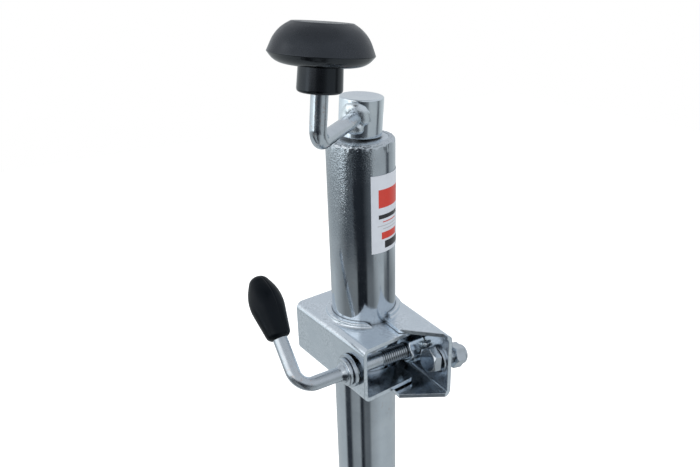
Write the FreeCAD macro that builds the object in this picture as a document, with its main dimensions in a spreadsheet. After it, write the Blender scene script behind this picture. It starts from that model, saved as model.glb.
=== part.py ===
import FreeCAD, Part
import math
import os
from types import SimpleNamespace

import Sketcher

# Jockey wheel for a trailer coupling: a cranked screw jack in a round post, a castor wheel under it,
# and a two-piece pressed clamp that holds the post on the drawbar.
# Frame: origin at the middle of the clamp's mounting face, +X out of that face, +Z up along the post,
# front of the clamp at -Y. Lengths are in millimetres and angles in degrees.

SIZES = (
    ("tube_radius", 24.0, "outer tube, outside radius"),
    ("tube_wall", 2.0, "outer tube, wall"),
    ("tube_top", 156.5, "outer tube, top above the clamp's middle"),
    ("tube_length", 350.0, "outer tube, length"),
    ("rim_rounding", 1.6, "outer tube, rounding of the rolled top edge"),
    ("rim_reach", 4.5, "outer tube, how far the rolled edge turns in"),
    ("seat_gap", 0.05, "clearance of a pressed or bonded seat"),
    ("slide_gap", 0.08, "clearance of a running fit"),
    ("face_gap", 0.3, "gap between faces that pass each other"),
    ("jaw_standoff", 30.0, "tube axis to mounting face"),
    ("jaw_sheet", 3.0, "sheet of both jaws"),
    ("jaw_half_height", 25.5, "fixed jaw, half of its height"),
    ("jaw_bend", 5.0, "fixed jaw, outside bend radius"),
    ("jaw_lap", 2.5, "fixed jaw, upper flange edge from the tube axis"),
    ("jaw_lower_lap", 3.0, "fixed jaw, lower flange edge past the tube axis"),
    ("jaw_straight", 25.9, "fixed jaw, jaw end to the straight stretch of the upper flange edge"),
    ("jaw_oblique_end", 3.4, "fixed jaw, jaw end to the upper oblique edge"),
    ("jaw_lower_straight", 16.8, "fixed jaw, jaw end to the straight stretch of the lower flange edge"),
    ("ear_reach", 6.5, "fixed jaw, hinge ear past the tube axis"),
    ("ear_rounding", 6.0, "fixed jaw, rounding of the hinge ear"),
    ("ear_back", 44.0, "fixed jaw, back edge of the hinge ear"),
    ("ear_front", 25.5, "fixed jaw, front edge of the hinge ear"),
    ("lip_height", 3.4, "fixed jaw, turned-up lip round the tube"),
    ("lip_foot", 1.6, "fixed jaw, rounding at the foot of the lip"),
    ("edge_crest", 1.0, "both jaws, rounding of the turned-up edges"),
    ("lip_span", 76.0, "fixed jaw, half angle of the lip"),
    ("hinge_side", 1.0, "hinge pin, offset from the tube axis towards the wall"),
    ("hinge_back", 34.5, "hinge pin, behind the tube axis"),
    ("hinge_radius", 4.0, "hinge pin, shank radius"),
    ("hinge_head", 7.0, "hinge pin, head radius"),
    ("hinge_head_height", 3.2, "hinge pin, head height"),
    ("moving_lean", 5.05, "moving jaw, angle to the fixed jaw when it grips"),
    ("moving_wall", 34.8, "moving jaw, outer face from the tube axis"),
    ("moving_front", 46.1, "moving jaw, length in front of the tube axis"),
    ("moving_back", 41.5, "moving jaw, length behind the tube axis"),
    ("moving_reach", 11.4, "moving jaw, front flange past the tube axis"),
    ("moving_ear", 12.0, "moving jaw, hinge ear past the tube axis"),
    ("moving_bend", 5.5, "moving jaw, outside bend radius"),
    ("moving_play", 0.6, "moving jaw, play above and below it on the hinge pin"),
    ("moving_corner", 5.0, "moving jaw, corner rounding of the flanges"),
    ("collar_width", 4.0, "moving jaw, width of the pressed collar"),
    ("collar_height", 3.6, "moving jaw, height of the pressed collar"),
    ("collar_foot", 2.4, "moving jaw, rounding at the foot of the collar"),
    ("relief_front", 258.0, "moving jaw, angle where the front relief leaves the hole"),
    ("relief_back", 110.0, "moving jaw, angle where the back relief leaves the hole"),
    ("collar_front", 246.0, "moving jaw, angle where the upper collar ends in front"),
    ("collar_front_low", 255.0, "moving jaw, angle where the lower collar ends in front"),
    ("collar_back", 120.0, "moving jaw, angle where the collar ends behind"),
    ("screw_forward", 34.6, "clamp screw, in front of the tube axis"),
    ("screw_radius", 6.0, "clamp screw, thread radius"),
    ("screw_thread", 37.0, "clamp screw, length of the thread"),
    ("slot_half_length", 7.9, "moving jaw, half length of the screw slot"),
    ("slot_shift", 1.6, "moving jaw, slot centre in front of the screw"),
    ("slot_half_height", 6.7, "moving jaw, half height of the screw slot"),
    ("nut_width", 19.0, "clamp nut, across flats"),
    ("nut_height", 14.0, "clamp nut, height"),
    ("washer_radius", 12.0, "clamp washer, radius"),
    ("washer_thick", 2.4, "clamp washer, thickness"),
    ("lever_radius", 5.1, "lever rod, radius"),
    ("lever_collar", 10.0, "lever collar, radius"),
    ("lever_collar_thick", 3.2, "lever collar, thickness"),
    ("lever_corner", 73.5, "lever rod, corner from the tube axis"),
    ("lever_bend", 10.0, "lever rod, bend radius at the middle"),
    ("lever_arm", 84.0, "lever, screw axis to grip tip"),
    ("lever_angle", 43.8, "lever, turned back from upright"),
    ("lever_splay", 0.7, "lever, arm leaning away from the clamp"),
    ("grip_length", 47.5, "lever grip, length"),
    ("grip_radius", 13.8, "lever grip, control radius of its belly"),
    ("grip_foot", 7.2, "lever grip, radius at the foot"),
    ("grip_crown", 5.2, "lever grip, control radius of its top"),
    ("grip_bore_depth", 40.0, "lever grip, depth of the bore"),
    ("bolt_gap", 1.93, "mounting washer, gap to the corner of the clamp nut"),
    ("bolt_inset", 11.1, "mounting holes, from the ends of the fixed jaw"),
    ("bolt_hole", 6.5, "mounting holes, radius"),
    ("bolt_radius", 5.0, "mounting bolt, shank radius"),
    ("bolt_length", 26.0, "mounting bolt, length under the head"),
    ("bolt_width", 16.0, "mounting bolt, across flats"),
    ("bolt_head", 6.4, "mounting bolt, head height"),
    ("bolt_droop", 10.0, "mounting bolt, sag of its outer end"),
    ("bolt_lift", 0.5, "mounting bolt, above the hole's middle"),
    ("bolt_washer", 10.0, "mounting washer, radius"),
    ("bolt_washer_thick", 2.0, "mounting washer, thickness"),
    ("bolt_nut_start", 9.8, "mounting nut, distance outside the wall's middle"),
    ("bolt_nut", 8.0, "mounting nut, height of the hexagon"),
    ("bolt_nut_collar", 3.0, "mounting nut, height of the round collar"),
    ("bolt_nut_collar_radius", 7.2, "mounting nut, radius of the round collar"),
    ("plate_depth", 7.0, "top plate, underside below the tube's top"),
    ("plate_drop", 0.4, "top plate, boss below the tube's top"),
    ("race_inside", 8.6, "bearing races, inside radius"),
    ("race_outside", 18.5, "bearing races, outside radius"),
    ("race_thick", 2.5, "bearing races, thickness"),
    ("ball_radius", 2.5, "thrust balls, radius"),
    ("ball_circle", 13.8, "thrust balls, radius of their circle"),
    ("ball_count", 10.0, "thrust balls, number"),
    ("ball_gap", 0.1, "thrust balls, gap to each race"),
    ("cage_thick", 2.0, "ball cage, thickness"),
    ("cage_side", 3.8, "ball cage, half width of the ring"),
    ("cage_hole_gap", 0.2, "ball cage, gap round each ball"),
    ("spindle_radius", 8.0, "spindle, thread radius"),
    ("shoulder_radius", 14.0, "spindle shoulder, radius"),
    ("shoulder_thick", 5.0, "spindle shoulder, thickness"),
    ("spindle_tail", 12.0, "spindle, length below the stop washer's upper face"),
    ("stop_radius", 14.0, "stop washer, radius"),
    ("stop_thick", 3.0, "stop washer, thickness"),
    ("stop_pin_radius", 2.0, "stop pin, radius"),
    ("stop_pin_length", 22.0, "stop pin, length"),
    ("hub_radius", 15.0, "crank hub, radius"),
    ("hub_height", 26.0, "crank hub, height"),
    ("hub_lift", 1.5, "crank hub, gap above the tube's top"),
    ("hub_bore_depth", 20.5, "crank hub, depth of the bore"),
    ("hub_rounding", 1.2, "crank hub, edge rounding"),
    ("cross_pin_radius", 2.5, "cross pin, radius"),
    ("cross_pin_height", 6.0, "cross pin, above the hub's underside"),
    ("crank_angle", -139.3, "crank, direction of the arm seen from above"),
    ("crank_side_lean", -3.8, "crank, roll about the arm on its loose pin"),
    ("crank_throw", 80.0, "crank, tube axis to handle"),
    ("crank_height", 13.5, "crank, arm above the hub's underside"),
    ("crank_radius", 5.0, "crank rod, radius"),
    ("crank_bend", 9.0, "crank rod, bend radius at the middle"),
    ("crank_lean", 4.2, "crank, handle leaning in towards the tube"),
    ("weld_radius", 3.4, "weld bead, radius"),
    ("knob_start", 28.8, "knob, foot above the arm"),
    ("knob_boss", 12.95, "knob, boss radius"),
    ("knob_boss_top", 43.3, "knob, top of the boss above the arm"),
    ("knob_rim", 29.4, "knob, rim radius"),
    ("knob_rim_height", 49.5, "knob, rim above the arm"),
    ("knob_flat", 16.8, "knob, radius of the flat top"),
    ("knob_top", 65.4, "knob, top above the arm"),
    ("knob_cap", 14.0, "knob cap, radius"),
    ("knob_cap_thick", 2.5, "knob cap, thickness"),
    ("knob_cavity", 9.0, "knob, radius of the cavity over the rod"),
    ("knob_floor", 53.0, "knob, floor of the cavity above the arm"),
    ("ring_radius", 8.0, "push-on ring, outside radius"),
    ("ring_thick", 1.2, "push-on ring, thickness"),
    ("label_low", 78.5, "label, lower edge above the clamp's middle"),
    ("label_height", 56.0, "label, height"),
    ("label_start", -106.0, "label, angle of its left edge"),
    ("label_span", 134.0, "label, angle that it covers"),
    ("label_thick", 0.25, "label, thickness"),
    ("leg_radius", 21.0, "inner tube, outside radius"),
    ("leg_wall", 2.0, "inner tube, wall"),
    ("leg_shorter", 20.0, "inner tube, shorter than the outer tube"),
    ("leg_retract", 55.0, "inner tube, travel up from rest"),
    ("leg_extend", 130.0, "inner tube, travel down from rest"),
    ("leg_end_gap", 3.0, "inner tube, room left at the end of its travel"),
    ("leg_nut_height", 25.0, "spindle nut, height"),
    ("key_width", 5.8, "guide key, width"),
    ("key_height", 10.0, "guide key, height"),
    ("key_lift", 5.0, "guide key, above the tube's lower end"),
    ("key_slot_gap", 0.1, "guide key, gap to each side of its slot"),
    ("bush_length", 30.0, "guide bush, length inside the tube"),
    ("bush_flange", 3.0, "guide bush, flange thickness"),
    ("plug_flange_radius", 24.0, "leg plug, flange radius"),
    ("plug_flange", 5.0, "leg plug, flange thickness"),
    ("plug_depth", 15.0, "leg plug, depth in the inner tube"),
    ("pivot_radius", 8.0, "fork pivot, radius"),
    ("pivot_groove", 1.0, "fork pivot, depth of the ring groove"),
    ("pivot_washer", 16.0, "pivot washer, radius"),
    ("pivot_washer_thick", 2.0, "pivot washer, thickness"),
    ("pivot_ring", 11.0, "pivot ring, radius"),
    ("pivot_ring_thick", 1.4, "pivot ring, thickness"),
    ("pivot_tail", 2.0, "fork pivot, length below the ring"),
    ("swivel_washer_thick", 1.5, "swivel washer, thickness"),
    ("fork_sheet", 4.0, "fork, sheet"),
    ("fork_bend", 9.0, "fork, outside bend radius"),
    ("fork_front", 24.0, "fork crown, in front of the pivot"),
    ("fork_back", 28.0, "fork crown, behind the pivot"),
    ("fork_trail", 32.0, "axle, behind the pivot"),
    ("tyre_gap", 2.3, "tyre, gap to the end of the fork pivot"),
    ("fork_foot", 17.0, "fork, half width at the axle"),
    ("axle_radius", 6.0, "axle bolt, radius"),
    ("axle_width", 19.0, "axle bolt and nut, across flats"),
    ("axle_head", 7.5, "axle bolt, head height"),
    ("axle_nut_height", 10.0, "axle nut, height"),
    ("axle_end", 3.0, "axle bolt, length past the nut"),
    ("axle_washer", 12.0, "axle washers, radius"),
    ("axle_washer_thick", 2.5, "axle washers, thickness"),
    ("wheel_radius", 100.0, "tyre, outside radius"),
    ("tyre_width", 50.0, "tyre, width"),
    ("tyre_shoulder", 14.0, "tyre, shoulder rounding"),
    ("tyre_groove", 3.0, "tyre, depth and width of the tread grooves"),
    ("tyre_groove_side", 9.0, "tyre, tread grooves from the middle"),
    ("tyre_height", 37.7, "tyre, height from its seat to the tread"),
    ("rim_sheet", 2.0, "wheel rim, sheet"),
    ("rim_half_width", 17.0, "wheel rim, half width of the seat"),
    ("rim_flange", 7.0, "wheel rim, height of the flange"),
    ("rim_bend", 3.0, "wheel rim, bend radius"),
    ("rim_emboss", 2.5, "wheel rim, height of the pressed ring"),
    ("rivet_radius", 3.0, "rim rivets, radius"),
    ("rivet_head", 5.2, "rim rivets, head radius"),
    ("rivet_head_height", 2.4, "rim rivets, head height"),
    ("rivet_count", 6.0, "rim rivets, number"),
    ("wheel_hub_radius", 13.0, "wheel hub, radius"),
    ("wheel_hub_half", 26.0, "wheel hub, half length"),
    ("bearing_wall", 3.0, "wheel bushes, wall"),
    ("bearing_flange", 12.0, "wheel bushes, flange radius"),
    ("bearing_flange_thick", 1.5, "wheel bushes, flange thickness"),
    ("bearing_length", 20.0, "wheel bushes, length in the hub"),
    ("wheel_side_gap", 0.5, "wheel bushes, gap to the axle washers"),
)

# Amounts that only make sure that a cut runs clear of the metal
CLEAR = 20.0


class Size:
    """A number that carries the sheet formula which gives it."""

    def __init__(self, value, formula):
        self.value = value
        self.formula = formula

    def __add__(self, other):
        other = as_size(other)
        return Size(self.value + other.value, f"({self.formula} + {other.formula})")

    def __radd__(self, other):
        return as_size(other) + self

    def __sub__(self, other):
        other = as_size(other)
        return Size(self.value - other.value, f"({self.formula} - {other.formula})")

    def __rsub__(self, other):
        return as_size(other) - self

    def __mul__(self, other):
        other = as_size(other)
        return Size(self.value * other.value, f"({self.formula} * {other.formula})")

    def __rmul__(self, other):
        return as_size(other) * self

    def __truediv__(self, other):
        other = as_size(other)
        return Size(self.value / other.value, f"({self.formula} / {other.formula})")

    def __rtruediv__(self, other):
        return as_size(other) / self

    def __neg__(self):
        return 0 - self


def as_size(number):
    if isinstance(number, Size):
        return number
    return Size(float(number), repr(float(number)))


def sine(angle):
    angle = as_size(angle)
    return Size(math.sin(math.radians(angle.value)), f"sin({angle.formula})")


def cosine(angle):
    angle = as_size(angle)
    return Size(math.cos(math.radians(angle.value)), f"cos({angle.formula})")


def root(number):
    return Size(math.sqrt(number.value), f"sqrt({number.formula})")


doc = FreeCAD.newDocument("JockeyWheel")
sheet = doc.addObject("Spreadsheet::Sheet", "Sizes")
for row, (alias, number, note) in enumerate(SIZES, start=1):
    sheet.set(f"A{row}", note)
    sheet.set(f"B{row}", str(number))
    sheet.setAlias(f"B{row}", alias)
doc.recompute()
d = SimpleNamespace(**{alias: Size(number, f"Sizes.{alias}") for alias, number, note in SIZES})

subparts = []


# Helpers: binding, placing, sketching and the features that the sub-parts share


def bind(thing, **sizes):
    """Ties each named property to its formula."""
    for name, size in sizes.items():
        thing.setExpression(name, as_size(size).formula)


def turned(axis, angle):
    """The formula of a turn about one axis."""
    x, y, z = {"x": (1, 0, 0), "y": (0, 1, 0), "z": (0, 0, 1)}[axis]
    return f"rotation(vector({x}; {y}; {z}); {as_size(angle).formula})"


def place(thing, *steps):
    """Places a sub-part by steps, each ((x, y, z), (axis, angle), ...), the later in the earlier's frame."""
    formulas = []
    for move, *turns in steps:
        vector = "; ".join(as_size(length).formula for length in move)
        rotation = " * ".join(turned(axis, angle) for axis, angle in turns) or turned("z", 0)
        formulas.append(f"placement(vector({vector}); {rotation})")
    thing.setExpression("Placement", " * ".join(formulas))


def finished(thing, label):
    """Names a sub-part and puts it on the list of files to write."""
    thing.Label = label
    subparts.append(thing)
    return thing


def new_body(label):
    return finished(doc.addObject("PartDesign::Body", label), label)


def new_sketch(body, role, lift=0):
    """A sketch on one of the body's own planes, lifted along the plane's normal."""
    plane = next(item for item in body.Origin.OriginFeatures if item.Role == role)
    sketch = body.newObject("Sketcher::SketchObject", f"{body.Name}Sketch")
    sketch.AttachmentSupport = [(plane, "")]
    sketch.MapMode = "FlatFace"
    sketch.setExpression("AttachmentOffset.Base.z", as_size(lift).formula)
    return sketch


def pin_point(sketch, geometry, end, across, up):
    """Fixes one point of a sketch at a place measured from its origin."""
    for kind, size in (("DistanceX", across), ("DistanceY", up)):
        size = as_size(size)
        index = sketch.addConstraint(Sketcher.Constraint(kind, -1, 1, geometry, end, size.value))
        sketch.setExpression(f"Constraints[{index}]", size.formula)


def corner_arc(before, corner, after, radius):
    """Where a rounding leaves and meets its two lines, with its centre and its turning direction."""
    one = (before - corner).normalize()
    two = (after - corner).normalize()
    half = one.getAngle(two) / 2
    middle = (one + two).normalize()
    centre = corner + middle * (radius / math.sin(half))
    reach = radius / math.tan(half)
    leftward = one.cross(two).z < 0
    return corner + one * reach, corner + two * reach, centre, leftward


def draw(sketch, corners, closed=True):
    """Lines through the corners, each (across, up) or (across, up, rounding), all bound to their sizes."""
    points = [FreeCAD.Vector(as_size(c[0]).value, as_size(c[1]).value, 0) for c in corners]
    count = len(corners)
    starts, ends, arcs = list(points), list(points), {}
    for i, corner in enumerate(corners):
        if len(corner) == 3:
            radius = as_size(corner[2]).value
            arc = corner_arc(points[i - 1], points[i], points[(i + 1) % count], radius)
            ends[i], starts[i] = arc[0], arc[1]
            arcs[i] = arc
    lines = []
    for i in range(count if closed else count - 1):
        line = Part.LineSegment(starts[i], ends[(i + 1) % count])
        lines.append(sketch.addGeometry(line, False))
    for i, corner in enumerate(corners):
        has_before = closed or i > 0
        has_after = closed or i < count - 1
        if i not in arcs:
            if has_before and has_after:
                sketch.addConstraint(Sketcher.Constraint("Coincident", lines[i - 1], 2, lines[i], 1))
            line, end = (lines[i], 1) if has_after else (lines[i - 1], 2)
            pin_point(sketch, line, end, corner[0], corner[1])
            continue
        round_corner(sketch, lines[i - 1], lines[i], arcs[i], points[i], corner)


def round_corner(sketch, before, after, arc, point, corner):
    """A tangent arc between two lines whose own corner stays fixed where they would meet."""
    start, end, centre, leftward = arc
    radius = as_size(corner[2])
    first, last = (start, end) if leftward else (end, start)
    angles = [math.atan2(spot.y - centre.y, spot.x - centre.x) for spot in (first, last)]
    if angles[1] < angles[0]:
        angles[1] += 2 * math.pi
    circle = Part.Circle(centre, FreeCAD.Vector(0, 0, 1), radius.value)
    curve = sketch.addGeometry(Part.ArcOfCircle(circle, *angles), False)
    near, far = (1, 2) if leftward else (2, 1)
    sketch.addConstraint(Sketcher.Constraint("Tangent", before, 2, curve, near))
    sketch.addConstraint(Sketcher.Constraint("Tangent", curve, far, after, 1))
    index = sketch.addConstraint(Sketcher.Constraint("Radius", curve, radius.value))
    sketch.setExpression(f"Constraints[{index}]", radius.formula)
    spot = sketch.addGeometry(Part.Point(point), True)
    sketch.addConstraint(Sketcher.Constraint("PointOnObject", spot, 1, before))
    sketch.addConstraint(Sketcher.Constraint("PointOnObject", spot, 1, after))
    pin_point(sketch, spot, 1, corner[0], corner[1])


def ring(sketch, radius, across=0, up=0):
    """A circle bound to its radius and its centre."""
    centre = FreeCAD.Vector(as_size(across).value, as_size(up).value, 0)
    radius = as_size(radius)
    curve = sketch.addGeometry(Part.Circle(centre, FreeCAD.Vector(0, 0, 1), radius.value), False)
    index = sketch.addConstraint(Sketcher.Constraint("Radius", curve, radius.value))
    sketch.setExpression(f"Constraints[{index}]", radius.formula)
    pin_point(sketch, curve, 3, across, up)


def slot(sketch, half_length, half_height, across=0, up=0):
    """A round-ended slot that lies along the sketch's first axis."""
    left, right = across - half_length, across + half_length
    low, high = up - half_height, up + half_height
    rounding = half_height - 0.01
    ends = ((left, low), (right, low), (right, high), (left, high))
    draw(sketch, [(*end, rounding) for end in ends])


def add_pad(body, sketch, length, symmetric=False, backwards=False):
    pad = body.newObject("PartDesign::Pad", f"{body.Name}Pad")
    pad.Profile = sketch
    pad.SideType = "Symmetric" if symmetric else "One side"
    pad.Reversed = backwards
    bind(pad, Length=length)
    return pad


def add_cut(body, sketch, length, symmetric=False, backwards=False):
    """Cuts against the plane's normal, or along it when backwards."""
    pocket = body.newObject("PartDesign::Pocket", f"{body.Name}Cut")
    pocket.Profile = sketch
    pocket.SideType = "Symmetric" if symmetric else "One side"
    pocket.Reversed = backwards
    bind(pocket, Length=length)
    return pocket


def add_turning(body, corners, role="XZ_Plane", axis="V_Axis", angle=360, turn=0):
    """Revolves an outline about the sketch's own axis, starting from a turned plane."""
    sketch = new_sketch(body, role)
    sketch.setExpression("AttachmentOffset.Rotation", turned("y", turn))
    draw(sketch, corners)
    spin = body.newObject("PartDesign::Revolution", f"{body.Name}Turning")
    spin.Profile = sketch
    spin.ReferenceAxis = (sketch, [axis])
    bind(spin, Angle=angle)
    return spin


def turned_body(label, corners, angle=360):
    body = new_body(label)
    add_turning(body, corners, angle=angle)
    return body


def tube_body(label, inside, outside, low, high):
    return turned_body(label, [(inside, low), (outside, low), (outside, high), (inside, high)])


def add_rod(body, points, start, radius):
    """A round rod swept along a rounded line in the body's XZ plane, starting square to its X axis."""
    path = new_sketch(body, "XZ_Plane")
    draw(path, points, closed=False)
    section = new_sketch(body, "YZ_Plane", start)
    ring(section, radius)
    pipe = body.newObject("PartDesign::AdditivePipe", f"{body.Name}Rod")
    pipe.Profile = section
    pipe.Spine = (path, [])
    return pipe


def primitive(kind, label, steps=None, **sizes):
    """One of the basic solids, sized by the sheet and moved by placing steps."""
    solid = doc.addObject(f"Part::{kind}", label)
    bind(solid, **sizes)
    if steps:
        place(solid, *steps)
    return solid


def cylinder(label, radius, low, high, steps=()):
    """A round bar from one height to another, in the frame of the placing steps."""
    return primitive("Cylinder", label, [*steps, ((0, 0, low),)], Radius=radius, Height=high - low)


def combined(kind, label, base, tool):
    joined = doc.addObject(f"Part::{kind}", label)
    if kind == "Cut":
        joined.Base, joined.Tool = base, tool
    else:
        joined.Shapes = [base, tool]
    return joined


def hexagon(label, width, low, high):
    """A hexagonal prism whose corners are turned back on both faces."""
    prism = primitive("Prism", f"{label}Prism", [((0, 0, low),)], Circumradius=width / cosine(30) / 2,
                      Height=high - low)
    prism.Polygon = 6
    half = (high - low) / 2
    ball_radius = root(width * width / 4 * 1.06 + half * half)
    ball = primitive("Sphere", f"{label}Chamfer", [((0, 0, (high + low) / 2),)], Radius=ball_radius)
    return combined("MultiCommon", f"{label}Hexagon", prism, ball)


def hex_nut(label, width, low, high, bore):
    hole = cylinder(f"{label}Bore", bore, low - 1, high + 1)
    return finished(combined("Cut", label, hexagon(label, width, low, high), hole), label)


def hex_bolt(label, width, head, radius, length):
    """A hexagon bolt with the underside of its head at zero and its shank pointing up."""
    shank = cylinder(f"{label}Shank", radius, 0, length)
    return finished(combined("MultiFuse", label, hexagon(label, width, -head, as_size(0)), shank), label)


# Places that several sub-parts share

tube_axis = -d.jaw_standoff
tube_bottom = d.tube_top - d.tube_length
tube_inside = d.tube_radius - d.tube_wall
jaw_hole = d.tube_radius + d.slide_gap
wall_inside = d.jaw_standoff - d.jaw_sheet
bolt_place = d.screw_forward + d.nut_width / cosine(30) / 2 + d.bolt_gap + d.bolt_washer
jaw_half_length = bolt_place + d.bolt_inset
lean_shift = (d.washer_radius - d.screw_forward) * sine(d.moving_lean)
screw_seat = (d.moving_wall + lean_shift) / cosine(d.moving_lean)
washer_inner = screw_seat + 0.2
collar_inner = washer_inner + d.washer_thick + 0.15
hub_bottom = d.tube_top + d.hub_lift
race_top = d.tube_top - d.plate_depth
ball_height = race_top - d.race_thick - d.ball_gap - d.ball_radius
lower_race_top = ball_height - d.ball_radius - d.ball_gap
shoulder_top = lower_race_top - d.race_thick
shoulder_bottom = shoulder_top - d.shoulder_thick
leg_top = shoulder_bottom - d.leg_retract - d.leg_end_gap
leg_bottom = leg_top - (d.tube_length - d.leg_shorter)
stop_top = leg_top - d.leg_nut_height - d.leg_extend - 1
stop_pin_height = stop_top - d.stop_thick - d.stop_pin_radius - 0.2
spindle_bottom = stop_top - d.spindle_tail
key_bottom = tube_bottom + d.key_lift
plug_bottom = leg_bottom - d.plug_flange
swivel_top = plug_bottom - d.face_gap / 2
crown_top = swivel_top - d.swivel_washer_thick
crown_bottom = crown_top - d.fork_sheet
pivot_washer_top = crown_bottom - d.face_gap
pivot_ring_top = pivot_washer_top - d.pivot_washer_thick
pivot_bottom = pivot_ring_top - d.pivot_ring_thick - d.pivot_tail
fork_drop = crown_top - pivot_bottom + d.tyre_gap + d.wheel_radius
axle_height = crown_top - fork_drop
rim_radius = d.wheel_radius - d.tyre_height
rivet_circle = rim_radius * 0.48
bearing_face = d.wheel_hub_half + d.bearing_flange_thick
fork_inside = bearing_face + d.wheel_side_gap + d.axle_washer_thick
fork_outside = fork_inside + d.fork_sheet
on_tube_axis = ((tube_axis, 0, 0),)
on_axle = ((tube_axis, d.fork_trail, axle_height), ("y", 90))
on_hub = ((tube_axis, 0, hub_bottom), ("z", d.crank_angle), ("x", d.crank_side_lean))
on_crank = (on_hub, ((0, 0, d.crank_height),))
cross_pin_length = d.hub_radius + d.spindle_radius - 1


# Clamp


def trim_flange(body, corners, upwards):
    """Cuts a flange to its outline, seen from above, on the upper or the lower side only."""
    sketch = new_sketch(body, "XY_Plane")
    draw(sketch, corners)
    add_cut(body, sketch, d.jaw_half_height + CLEAR, backwards=upwards)


def channel(body, inner_edge, outer, half_height, bend, front, back):
    """A pressed channel: a wall at the outer distance, with a flange above and below folded inwards."""
    sketch = new_sketch(body, "XZ_Plane", -(back - front) / 2)
    inner = outer - d.jaw_sheet if outer.value > 0 else outer + d.jaw_sheet
    inner_bend = bend - d.jaw_sheet
    inner_height = half_height - d.jaw_sheet
    draw(sketch, [
        (inner_edge, half_height), (outer, half_height, bend), (outer, -half_height, bend),
        (inner_edge, -half_height), (inner_edge, -inner_height), (inner, -inner_height, inner_bend),
        (inner, inner_height, inner_bend), (inner_edge, inner_height),
    ])
    add_pad(body, sketch, front + back, symmetric=True)


def make_fixed_jaw():
    """Bolted half of the clamp, with its flanges cut back obliquely towards both ends."""
    body = new_body("fixed_jaw")
    channel(body, -d.ear_reach, d.jaw_standoff, d.jaw_half_height, d.jaw_bend,
            jaw_half_length, jaw_half_length)
    bend_line = d.jaw_standoff - d.jaw_bend + 0.5
    half = jaw_half_length
    past_side, past_end = -(d.ear_reach + CLEAR), half + CLEAR
    edges = ((True, d.jaw_lap, half - d.jaw_straight, half - d.jaw_oblique_end),
             (False, -d.jaw_lower_lap, half - d.jaw_lower_straight, half))
    for upwards, edge, straight, oblique_end in edges:
        trim_flange(body, [
            (past_side, -past_end), (bend_line, -past_end), (bend_line, -oblique_end),
            (edge, -straight), (edge, d.ear_front, 2), (past_side, d.ear_front)], upwards)
        trim_flange(body, [
            (past_side, past_end), (bend_line, past_end), (bend_line, oblique_end),
            (d.hinge_side, d.ear_back, d.ear_rounding), (-d.ear_reach, d.ear_front + 3, d.ear_rounding),
            (-d.ear_reach, d.ear_front), (past_side, d.ear_front)], upwards)
    for upper_or_lower in (1, -1):
        add_turned_edge(body, upper_or_lower, d.jaw_sheet, d.jaw_half_height, d.lip_height, d.lip_foot,
                        -d.lip_span, d.lip_span)
    hole = new_sketch(body, "XY_Plane")
    ring(hole, jaw_hole)
    add_cut(body, hole, d.jaw_half_height * 2 + CLEAR, symmetric=True)
    hinge = new_sketch(body, "XY_Plane")
    ring(hinge, d.hinge_radius + d.seat_gap, d.hinge_side, d.hinge_back)
    add_cut(body, hinge, d.jaw_half_height * 2 + CLEAR, symmetric=True)
    holes = new_sketch(body, "YZ_Plane")
    for place_along, radius in ((-bolt_place, d.bolt_hole), (bolt_place, d.bolt_hole),
                                (-d.screw_forward, d.screw_radius + 0.5)):
        ring(holes, radius, place_along, 0)
    add_cut(body, holes, d.jaw_standoff + CLEAR, backwards=True)
    place(body, on_tube_axis)


def add_turned_edge(body, side, thickness, flange, height, foot, start, end):
    """A turned-up edge round the tube on the upper (1) or lower (-1) flange, rounded where it rises."""
    inside, outside = jaw_hole - 0.5, jaw_hole + thickness
    spread = outside + foot * 1.2
    base, root_level, top = side * flange, side * (flange - 1), side * (flange + height)
    add_turning(body, [
        (inside, root_level), (spread, root_level), (spread, base), (outside, base, foot),
        (outside, top, d.edge_crest), (inside, top, d.edge_crest)], angle=end - start, turn=start)


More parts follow.
